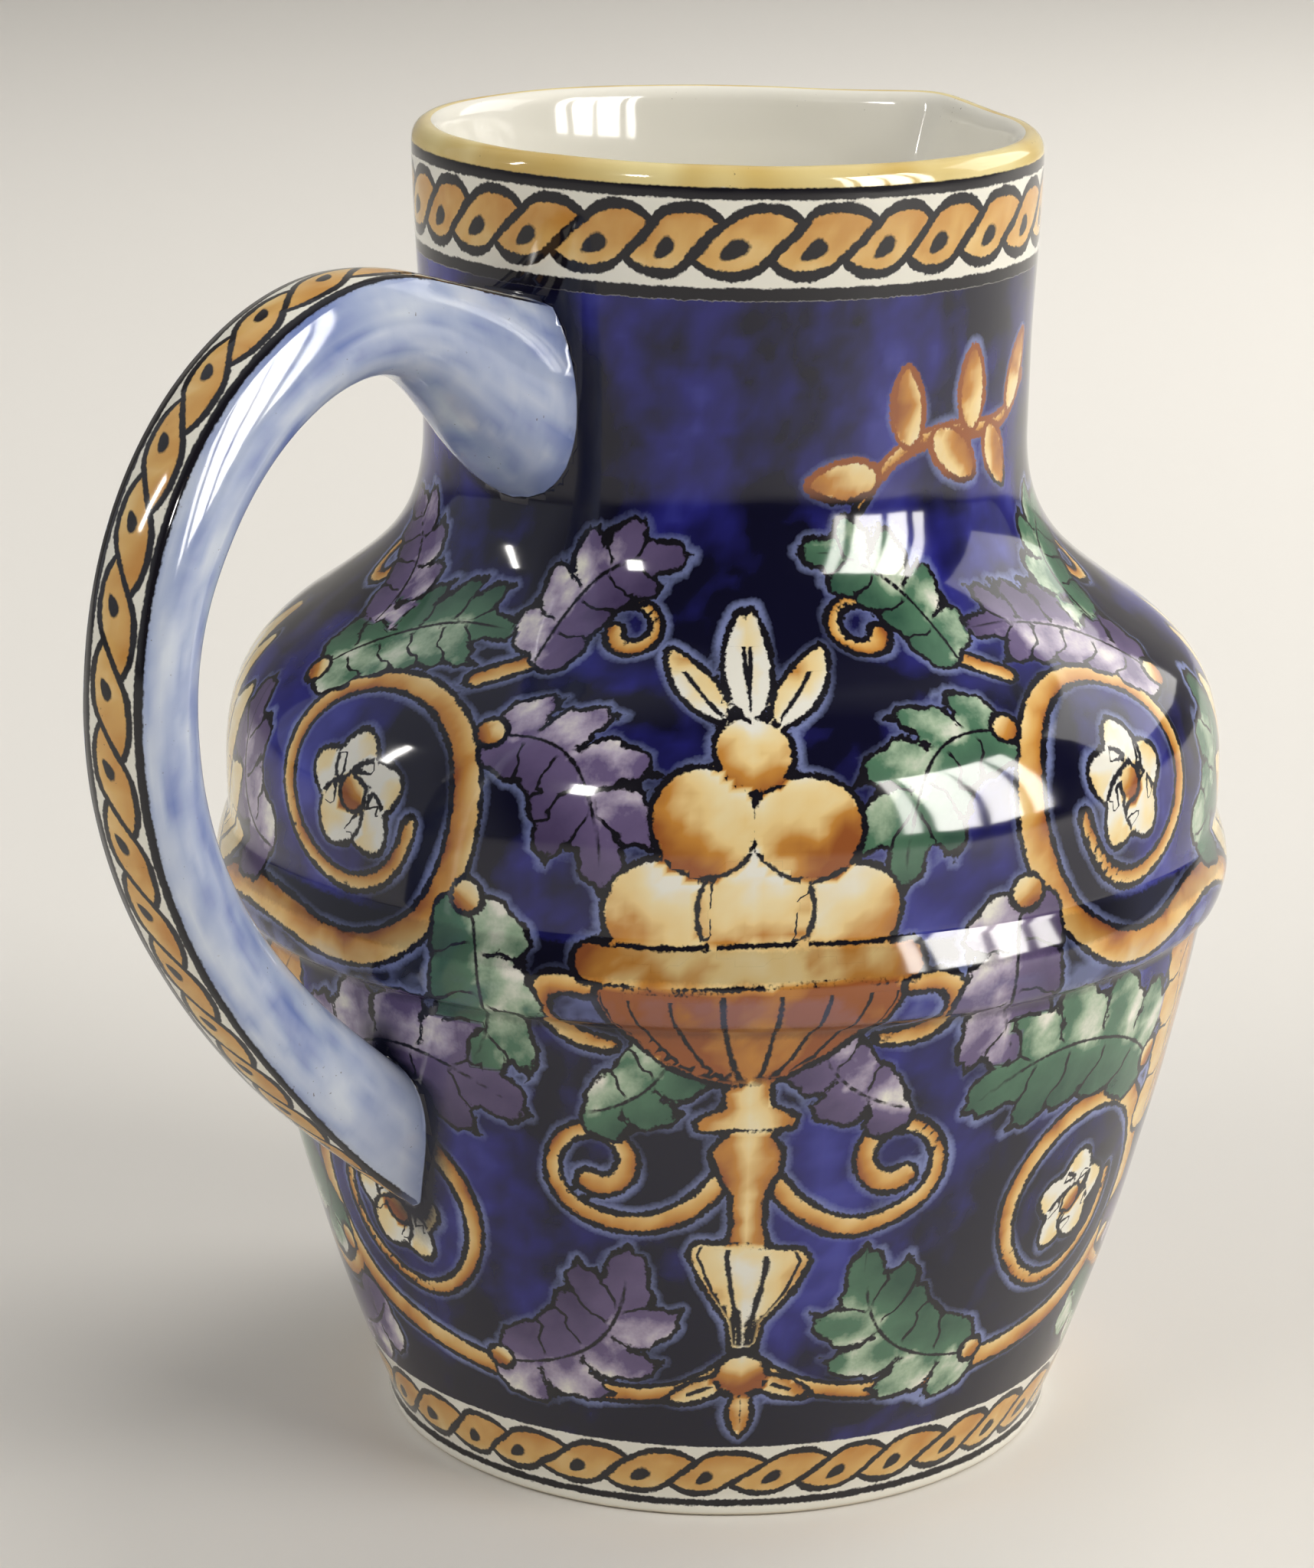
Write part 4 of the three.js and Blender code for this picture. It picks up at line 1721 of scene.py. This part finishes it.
class Graph:
    """Adds nodes to one tree and joins them."""

    def __init__(self, tree: bpy.types.NodeTree) -> None:
        """Takes the tree that the nodes are added to."""
        self.tree = tree

    def add(
        self, kind: str, *values: Value, out: Union[int, str] = 0, named: Optional[Dict[str, Value]] = None,
        stops: Sequence[Tuple[float, Hue]] = (), **settings,
    ) -> Optional[bpy.types.NodeSocket]:
        """Adds a node with its settings and links.

        Args:
            kind: The node's type without its ShaderNode, then its operation if it has one.
            values: Sockets, colours or numbers for its inputs, in their order.
            out: The output that is wanted.
            named: Sockets, colours or numbers for inputs by name.
            stops: Places and colours of a colour ramp, in order.
            settings: The node's own settings.

        Returns:
            The wanted output, or None where the node has no output.
        """
        name, _, operation = kind.partition(" ")
        node = self.tree.nodes.new(name if name.startswith("NodeGroup") else "ShaderNode" + name)
        if operation:
            node.operation = operation
        for key, value in settings.items():
            setattr(node, key, value)
        for key, value in [*enumerate(values), *(named or {}).items()]:
            if isinstance(value, bpy.types.NodeSocket):
                self.tree.links.new(value, node.inputs[key])
            else:
                node.inputs[key].default_value = linear(value) if isinstance(value, Hue) else value
        for k, (place, hue) in enumerate(stops):
            ramp = node.color_ramp.elements
            element = ramp[k] if k < len(ramp) else ramp.new(1.0)
            element.position = place
            element.color = linear(hue)
        return node.outputs[out] if node.outputs else None


class RopeBand:
    """A node group that paints overlapping leaning strands with an eye in each."""

    SHEAR = 0.44
    SHOULDER = 0.52

    def __init__(self) -> None:
        """Makes the group with its inputs and its colour."""
        tree = bpy.data.node_groups.new("rope_band", "ShaderNodeTree")
        face = tree.interface
        for name in ("Along", "Across", "Pitch", "Half", "Line", "Rough", "Wash"):
            face.new_socket(name=name, in_out="INPUT", socket_type="NodeSocketFloat")
        face.new_socket(name="Color", in_out="OUTPUT", socket_type="NodeSocketColor")
        self.tree = tree
        self.add = Graph(tree).add
        self.draw()

    def arch(self, along: Value, shift: float) -> bpy.types.NodeSocket:
        """Height of the strands' rounded ends.

        Args:
            along: Place along the band, in strands.
            shift: Where the ends meet.

        Returns:
            Height as a share of the half height.
        """
        add = self.add
        share = add("Math FRACT", add("Math ADD", along, shift))
        swing = add("Math MULTIPLY_ADD", share, 2.0, -1.0)
        bow = add("Math SUBTRACT", 1.0, add("Math POWER", add("Math ABSOLUTE", swing), 2.5))
        return add("Math MULTIPLY_ADD", bow, 1 - self.SHOULDER, self.SHOULDER)

    def eye(self, lean: Value, across: Value, pitch: Value, half: Value) -> bpy.types.NodeSocket:
        """The drop-shaped eye low in each strand.

        Args:
            lean: Place along the leaning strands.
            across: Place across, in half heights.
            pitch: Length of one strand.
            half: Half height of the band.

        Returns:
            Below 0 inside the eye.
        """
        add = self.add
        low = add("Math ADD", across, 0.25)
        run = add("Math MULTIPLY_ADD", low, self.SHEAR, add("Math SUBTRACT", add("Math FRACT", lean), 0.47))
        dx = add("Math DIVIDE", add("Math MULTIPLY", run, pitch), half)
        ahead = add("Math MULTIPLY_ADD", dx, 0.77, add("Math MULTIPLY", low, 0.64))
        side = add("Math MULTIPLY_ADD", dx, -0.64, add("Math MULTIPLY", low, 0.77))
        wide = add("Math MULTIPLY_ADD", ahead, 0.2, 0.24)
        flat = add("Math DIVIDE", ahead, 0.41)
        thin = add("Math DIVIDE", side, wide)
        total = add("Math ADD", add("Math MULTIPLY", flat, flat), add("Math MULTIPLY", thin, thin))
        return add("Math MULTIPLY", add("Math SUBTRACT", add("Math SQRT", total), 1.0), 0.5)

    def draw(self) -> None:
        """Draws the strands, their seams and eyes and the two outlines."""
        add = self.add
        along, across, pitch, half, line, rough, wash = list(add("NodeGroupInput").node.outputs)[:7]
        lean = add("Math MULTIPLY_ADD", across, -self.SHEAR, along)
        near = add("Math ABSOLUTE", add("Math SUBTRACT", add("Math FRACT", lean), 0.5))
        seam = add("Math MULTIPLY", add("Math MULTIPLY", add("Math SUBTRACT", 0.5, near), pitch), 0.7)
        meet = self.SHOULDER * self.SHEAR
        top = add("Math SUBTRACT", across, self.arch(along, -meet))
        low = add("Math MULTIPLY", add("Math ADD", across, self.arch(along, meet)), -1.0)
        out = add("Math MULTIPLY", add("Math MULTIPLY", add("Math MAXIMUM", top, low), half), 0.88)
        pen = add("Math MULTIPLY_ADD", line, 0.5, rough)
        outline = add("Math SUBTRACT", add("Math ABSOLUTE", out), pen)
        between = add("Math MAXIMUM", add("Math SUBTRACT", seam, pen), out)
        eye = add("Math MULTIPLY_ADD", rough, -0.5, self.eye(lean, across, pitch, half))
        ink = add("Math MINIMUM", add("Math MINIMUM", outline, between), eye)
        lit = add("Math MULTIPLY_ADD", across, 0.22, add("Math MULTIPLY_ADD", wash, 1.1, -0.05))
        fill = add("ValToRGB", lit, stops=Washes.ROPE)
        ground = add("MixRGB", add("MapRange", out, -0.05, 0.05), fill, Hue.WHITE)
        painted = add("MixRGB", add("MapRange", ink, 0.07, -0.05), ground, Hue.INK)
        add("NodeGroupOutput", painted)


class Glaze:
    """The painted glaze as one material.

    Bristle, waver and ripple are the sizes of features in millimetres, and the last one's
    height too. The twig's levels are where ink gives way to a brown outline on the neck.
    """

    # Earthenware painted with metal oxides under a glossy glaze: a hard clear mirror over soft
    # washes that pooled and thinned, and ink that bled a little at its edges in the fire.
    IOR = 1.52
    GLOSS = 0.05
    GLOSS_SWING = 0.05
    BISQUE_DULLNESS = 0.5
    # Real bristle marks are about a third of this, too fine to show.
    BRISTLE = 0.32
    WAVER = 1.6
    RIPPLE = 1.8
    RIPPLE_HEIGHT = 0.012
    BUMP_STRENGTH = 0.5
    SOFT = 0.06
    TWIG_LEVELS = (91.0, 93.0)
    # How dark the painted shade at the ridge is, and how pale the crest's streaks are.
    SHADE_DEPTH = 0.94
    THIN_DEPTH = 0.42

    def __init__(self, pot: PotSizes, handle: HandleShape, paint: PaintSizes, shade_and_crest: ShadeAndCrestSizes) -> None:
        """Starts the material with the values that all its parts read.

        Args:
            pot: The pot's sizes.
            handle: The handle.
            paint: Levels and line widths of the painting.
            shade_and_crest: Where painted shade darkens the glaze at the ridge and the handle's join, and
                where the crest's glaze ran thin.
        """
        self.pot = pot
        self.handle = handle
        self.paint = paint
        self.shade_and_crest = shade_and_crest
        self.material = bpy.data.materials.new("painted_glazed_earthenware")
        self.material.use_nodes = True
        tree = self.material.node_tree
        tree.nodes.clear()
        self.add = add = Graph(tree).add
        coords = add("TexCoord", out="Object")
        self.place = add("VectorMath SCALE", coords, named={"Scale": 1 / MM})
        self.x, self.y, self.z = add("SeparateXYZ", self.place).node.outputs
        self.fine = add("TexNoise", self.place, named={"Scale": 1 / self.BRISTLE, "Detail": 1.0})
        middle = add("TexNoise", self.place, named={"Scale": 1 / self.WAVER, "Detail": 1.0})
        both = add("Math MULTIPLY_ADD", middle, 0.44, -0.45)
        self.rough = add("Math MULTIPLY_ADD", self.fine, 0.46, both)
        self.wash, self.drift, self.brush = self.kept("clouds")
        self.rope = RopeBand()

    def kept(self, name: str) -> Sequence[bpy.types.NodeSocket]:
        """The three values kept on the mesh under a name."""
        kept = self.add("Attribute", attribute_name=name, out="Vector")
        return self.add("SeparateXYZ", kept).node.outputs

    def covered(self, distance: Value) -> bpy.types.NodeSocket:
        """1 inside a painted form, from the distance outside its edge."""
        return self.add("MapRange", distance, self.SOFT, -self.SOFT)

    def between(self, level: Value, middle: float, ends: Tuple[float, float]) -> bpy.types.NodeSocket:
        """1 near a height, fading away between two distances from it."""
        off = self.add("Math ABSOLUTE", self.add("Math SUBTRACT", level, middle))
        return self.add("MapRange", off, *ends)

    def pen(self, distance: Value, half: float, share: float = 1.0) -> bpy.types.NodeSocket:
        """An ink line with an uneven edge.

        Args:
            distance: Distance from the line's middle, on either side.
            half: Half width.
            share: How uneven the edge is.

        Returns:
            1 on the line.
        """
        add = self.add
        width = add("Math MULTIPLY_ADD", self.rough, share, half)
        edge = add("Math SUBTRACT", add("Math ABSOLUTE", distance), width)
        return add("MapRange", edge, self.SOFT + 0.01, -self.SOFT)

    def ground(self) -> bpy.types.NodeSocket:
        """The brushed cobalt ground.

        Returns:
            Its colour.
        """
        add = self.add
        mixed = add("Math MULTIPLY_ADD", self.wash, 0.3, add("Math MULTIPLY", self.brush, 0.7))
        mixed = add("Math MULTIPLY_ADD", add("MapRange", self.z, 30, 10), -0.07, mixed)
        return add("ValToRGB", mixed, stops=Washes.COBALT)

    def ornament(self) -> bpy.types.NodeSocket:
        """Ground, halo, stems, leaves and rounded forms, one over the other.

        Returns:
            The painted colour.
        """
        add = self.add
        paint = self.paint
        ink = add("MixRGB", add("MapRange", self.z, *self.TWIG_LEVELS), Hue.INK, Hue.OCHRE_DEEP)
        stem, lateral, overlap = self.kept("stem")
        leaf, rib, lobes = self.kept("leaf")
        strength, tint, body = self.kept("leaf_tone")
        mass, tone, ribs = self.kept("mass")
        wash, drift = self.wash, self.drift
        nearest = add("Math MINIMUM", add("Math MINIMUM", stem, leaf), mass)
        reach = add("Math MULTIPLY_ADD", drift, 1.3, add("Math MULTIPLY_ADD", self.rough, 0.7, -0.15))
        halo = add("MapRange", add("Math SUBTRACT", nearest, reach), 0.34, -0.26)
        thin = add("Math MULTIPLY", add("MapRange", drift, 0.16, 0.8), 0.85)
        # The ground takes the ridge's painted shade in full.
        ground = self.paint_ridge_shade(self.ground(), 1.0)
        colour = add("MixRGB", add("Math MULTIPLY", halo, thin), ground, Hue.HALO)
        side = add("Math MULTIPLY_ADD", lateral, 0.34, add("Math MULTIPLY_ADD", wash, 0.9, 0.05))
        fill = add("ValToRGB", side, stops=Washes.STEM)
        colour = add("MixRGB", self.covered(stem), colour, fill)
        colour = add("MixRGB", self.pen(stem, paint.ink), colour, ink)
        strong = add("Math MULTIPLY_ADD", wash, 0.6, add("Math ADD", strength, -0.3))
        strong = add("Math MULTIPLY_ADD", self.rough, 0.12, strong)
        green = add("ValToRGB", strong, stops=Washes.GREEN_LEAF)
        purple = add("ValToRGB", strong, stops=Washes.PURPLE_LEAF)
        ochre = add("ValToRGB", strong, stops=Washes.OCHRE_LEAF)
        washed = add("MixRGB", add("MapRange", tint, 0.2, 0.8), green, purple)
        washed = add("MixRGB", add("MapRange", tint, 1.2, 1.8), washed, ochre)
        colour = add("MixRGB", self.covered(leaf), colour, washed)
        away = add("MapRange", body, -0.3, 0.2)
        inside = add("MapRange", leaf, 0.1, -0.1)
        between = add("Math MULTIPLY", self.pen(lobes, paint.lobe_ink, 0.7), away)
        between = add("Math MULTIPLY", between, inside)
        middle = add("Math MULTIPLY", self.pen(rib, paint.vein_ink, 0.5), add("MapRange", body, 0.0, -0.3))
        border = self.kept("leaf_border")[0]
        lapped = add("Math MULTIPLY", self.pen(border, paint.lobe_ink, 0.8), inside)
        inked = add("Math MAXIMUM", add("Math MAXIMUM", between, middle), self.pen(leaf, paint.lobe_ink))
        inked = add("Math MAXIMUM", inked, lapped)
        colour = add("MixRGB", inked, colour, Hue.INK)
        shade = add("Math MULTIPLY_ADD", wash, 0.8, add("Math ADD", tone, -0.4))
        fill = add("ValToRGB", shade, stops=Washes.ROUNDED)
        colour = add("MixRGB", self.covered(mass), colour, fill)
        ribbed = add("Math MULTIPLY", self.pen(ribs, paint.rib_ink, 0.6), add("MapRange", mass, -0.2, -0.5))
        lapped = add("MapRange", mass, 0.1, -0.1)
        lapped = add("Math MULTIPLY", self.pen(overlap, paint.lap_ink, 0.8), lapped)
        inked = add("Math MAXIMUM", add("Math MAXIMUM", ribbed, lapped), self.pen(mass, paint.ink))
        return add("MixRGB", inked, colour, ink)

    def paint_ridge_shade(self, colour: Value, share: float) -> bpy.types.NodeSocket:
        """Paints shade under the ridge's ledge and a dark reflection in the hollow over it, and pale
        streaks on the crest where the glaze ran thin.

        Args:
            colour: The painted colour.
            share: How strongly.

        Returns:
            The colour with the painted shade and the crest's streaks.
        """
        add = self.add
        pot = self.pot
        shade_and_crest = self.shade_and_crest
        level = add("Math ADD", self.rough, self.z)
        crest = pot.ridge_level + pot.ridge_crest_rise
        # Painted shade under the ledge, and a painted dark reflection in the hollow over the crest.
        under = self.between(level, pot.ridge_level + shade_and_crest.ledge_rise, shade_and_crest.ledge)
        painted_shade = add("Math MAXIMUM", under, self.between(level, crest + shade_and_crest.hollow_rise, shade_and_crest.hollow))
        thin = self.between(level, pot.ridge_level + shade_and_crest.crest_rise, shade_and_crest.crest)
        streaks = add("Math MULTIPLY", add("MapRange", self.wash, 0.42, 0.62), self.THIN_DEPTH * share)
        colour = add("MixRGB", add("Math MULTIPLY", thin, streaks), colour, Hue.HALO)
        return add("MixRGB", add("Math MULTIPLY", painted_shade, self.SHADE_DEPTH * share), colour, Hue.PAINTED_SHADE)

    def level(self) -> bpy.types.NodeSocket:
        """Height on the neck, measured with the rim's slope."""
        return self.add("Math MULTIPLY_ADD", self.y, -self.pot.rim_slope, self.z)

    def turned_band(self, band: BandSizes, level: Value, radius: float) -> bpy.types.NodeSocket:
        """A rope band around the pot.

        Args:
            band: Its sizes.
            level: Height.
            radius: Radius of the pot there.

        Returns:
            Its colour.
        """
        add = self.add
        turn = add("Math ARCTAN2", self.y, self.x)
        wobble = add("Math MULTIPLY_ADD", self.drift, 0.4, -0.2)
        along = add("Math MULTIPLY_ADD", turn, band.strands / (2 * math.pi), wobble)
        across = add("Math MULTIPLY_ADD", level, 1 / band.half_height, -band.middle / band.half_height)
        pitch = 2 * math.pi * radius / band.strands
        soft = add("Math MULTIPLY", self.rough, 0.7)
        sizes = (pitch, band.half_height, band.line)
        return add("Group", along, across, *sizes, soft, self.wash, node_tree=self.rope.tree)

    def stripe(self, level: Value, low: float, high: float) -> bpy.types.NodeSocket:
        """1 on an ink line between two heights."""
        add = self.add
        return self.pen(add("Math SUBTRACT", level, (low + high) / 2), (high - low) / 2, 0.6)

    def above(self, level: Value, height: float, share: float = 0.5) -> bpy.types.NodeSocket:
        """1 above a height, with an edge as uneven as its share says."""
        uneven = self.add("Math MULTIPLY_ADD", self.rough, share, level)
        return self.add("MapRange", uneven, height - self.SOFT, height + self.SOFT)

    def pot_colour(self) -> bpy.types.NodeSocket:
        """The pot's outside with both bands and the yellow lip.

        Returns:
            Its colour.
        """
        add = self.add
        paint = self.paint
        pot = self.pot
        level = self.level()
        # The painting takes a little of the ridge's painted shade.
        colour = self.paint_ridge_shade(self.ornament(), 0.3)
        neck = self.turned_band(paint.neck_band, level, pot.neck_radius)
        neck = add("MixRGB", self.stripe(level, paint.neck_line_low, paint.neck_line_top), neck, Hue.INK)
        foot = self.turned_band(paint.foot_band, self.z, pot.foot_radius + 1)
        foot = add("MixRGB", self.stripe(self.z, paint.foot_line_low, paint.foot_line_top), foot, Hue.INK)
        colour = add("MixRGB", self.above(level, paint.blue_top), colour, neck)
        colour = add("MixRGB", self.stripe(level, paint.blue_top, paint.neck_low_line_top), colour, Hue.INK)
        return add("MixRGB", self.above(self.z, paint.foot_blue), foot, colour)

    def handle_colour(self, edge: Value) -> bpy.types.NodeSocket:
        """The strap: a white face with a rope between two lines, and pale blue sides.

        Args:
            edge: Distance past the edge of the face.

        Returns:
            Its colour.
        """
        add = self.add
        paint = self.paint
        along, across, streaks = self.kept("strap")
        mottle = add("Math MULTIPLY_ADD", self.wash, 0.25, add("Math MULTIPLY", streaks, 0.75))
        blue = add("ValToRGB", mottle, stops=Washes.STRAP)
        heel = add("MapRange", along, self.handle.length * 0.8, self.handle.length * 0.97)
        blue = add("MixRGB", add("Math MULTIPLY", heel, 0.6), blue, Hue.HANDLE_PALE)
        soft = add("Math MULTIPLY", self.rough, 0.5)
        strands = add("Math DIVIDE", along, paint.strap_pitch)
        height = add("Math DIVIDE", across, paint.strap_half_height)
        sizes = (paint.strap_pitch, paint.strap_half_height, paint.strap_line)
        rope = add("Group", strands, height, *sizes, soft, self.wash, node_tree=self.rope.tree)
        lined = self.pen(add("Math ADD", edge, paint.border / 2), paint.border / 2, 0.5)
        face = add("MixRGB", add("MapRange", edge, -0.5, -0.4), rope, blue)
        return add("MixRGB", lined, face, Hue.INK)

    def build(self) -> bpy.types.Material:
        """Joins every zone into the finished material.

        Returns:
            The material.
        """
        add = self.add
        seam, edge, inside = self.kept("zone")
        level = self.level()
        colour = self.pot_colour()
        paint = self.paint
        # Painted shade: the blue darkens in the crease around the handle's join.
        from_seam = add("Math MULTIPLY_ADD", self.rough, 1.2, add("Math ABSOLUTE", seam))
        on_blue = add("MapRange", level, paint.blue_top + 1, paint.blue_top)
        painted_shade = add("Math MULTIPLY", add("MapRange", from_seam, *self.shade_and_crest.seam), on_blue)
        colour = add("MixRGB", painted_shade, colour, Hue.COBALT_DEEP)
        strap = self.handle_colour(edge)
        # Painted shade: the strap's blue deepens where it meets the pot.
        shaded = add("Math MULTIPLY", add("MapRange", seam, *self.shade_and_crest.strap_seam), 0.6)
        strap = add("MixRGB", shaded, strap, Hue.HANDLE_DEEP)
        colour = add("MixRGB", add("MapRange", seam, 0.0, 0.12), colour, strap)
        within = add("MixRGB", self.drift, Hue.INSIDE, Hue.WHITE)
        colour = add("MixRGB", add("MapRange", inside, 0.1, -0.1), colour, within)
        lip_level = add("Math MULTIPLY_ADD", add("MapRange", inside, 0.2, -0.4), -3.0, level)
        yellow = add("MixRGB", add("MapRange", self.drift, 0.3, 0.62), Hue.RIM_DEEP, Hue.RIM_YELLOW)
        colour = add("MixRGB", self.above(lip_level, paint.lip_edge, 0.3), colour, yellow)
        pale = add("Math MAXIMUM", add("MapRange", seam, 0.5, 1.0), self.above(level, paint.lip_edge))
        speck = add("Math MULTIPLY", add("MapRange", self.fine, 0.73, 0.77), pale)
        speck = add("Math MULTIPLY", speck, add("MapRange", self.wash, 0.54, 0.6))
        colour = add("MixRGB", add("Math MULTIPLY", speck, 0.7), colour, Hue.SPECK)
        under = add("MapRange", self.z, 0.5, 0.3)
        colour = add("MixRGB", under, colour, Hue.BISQUE)
        ripple = add("TexNoise", self.place, named={"Scale": 1 / self.RIPPLE, "Detail": 0.0})
        height = add("Math MULTIPLY", ripple, self.RIPPLE_HEIGHT)
        bump = add("Bump", named={"Height": height, "Strength": self.BUMP_STRENGTH, "Distance": MM})
        gloss = add("Math MULTIPLY_ADD", ripple, self.GLOSS_SWING, self.GLOSS)
        roughness = add("Math MULTIPLY_ADD", under, self.BISQUE_DULLNESS, gloss)
        shader = add("BsdfPrincipled", named={
            "Base Color": colour, "Roughness": roughness, "IOR": self.IOR, "Normal": bump,
        })
        add("OutputMaterial", shader)
        return self.material


class Jug:
    """The whole jug: its skin, what is measured on the skin, and the glaze over it."""

    ON_POT = 0.01

    def __init__(self) -> None:
        """Works out the shapes of the pot and the handle."""
        self.pot = PotShape(PotSizes())
        self.handle = HandleShape(HandleSizes(), self.pot)
        self.paint = PaintSizes()

    def build(self) -> bpy.types.Object:
        """Makes the skin, paints it and glazes it.

        Returns:
            The jug, in metres.
        """
        jug = SkinBuilder(self.pot, self.handle, MeshDensity()).build()
        mesh = jug.data
        self.measure(mesh, positions(mesh))
        mesh.transform(Matrix.Scale(MM, 4))
        mesh.shade_smooth()
        mesh.materials.clear()
        mesh.materials.append(Glaze(self.pot.sizes, self.handle, self.paint, ShadeAndCrestSizes()).build())
        LOG.info("%s: painted and glazed", jug.name)
        return jug

    def measure(self, mesh: bpy.types.Mesh, skin: np.ndarray) -> None:
        """Keeps on the mesh all that the glaze reads, and gives it the swell of a thrown pot.

        Args:
            mesh: The skin, in millimetres.
            skin: Its points.
        """
        zones = ClayZones(self.pot, self.handle, skin)
        seam, edge, along, across, streaks = zones.seam()
        inside = zones.inside()
        painter = Painter(self.pot, self.paint, skin, (inside > 0) & (seam < self.ON_POT))
        for name, values in painter.paint().items():
            store(mesh, name, *values)
        store(mesh, "zone", seam, edge, inside)
        store(mesh, "strap", along, across, streaks)
        LOG.info("painting measured on %d points", len(skin))
        add_unevenness(mesh, skin, CloudSizes())


def main() -> None:
    """Builds the scene."""
    logging.basicConfig(level=logging.INFO, format="%(name)s: %(message)s")
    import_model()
    studio = Studio(CameraSizes())
    studio.place_camera()
    studio.light()
    studio.floor()
    jug = Jug().build()
    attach(jug, "root")
    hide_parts(JUG_NODE)


if __name__ == "__main__":
    main()
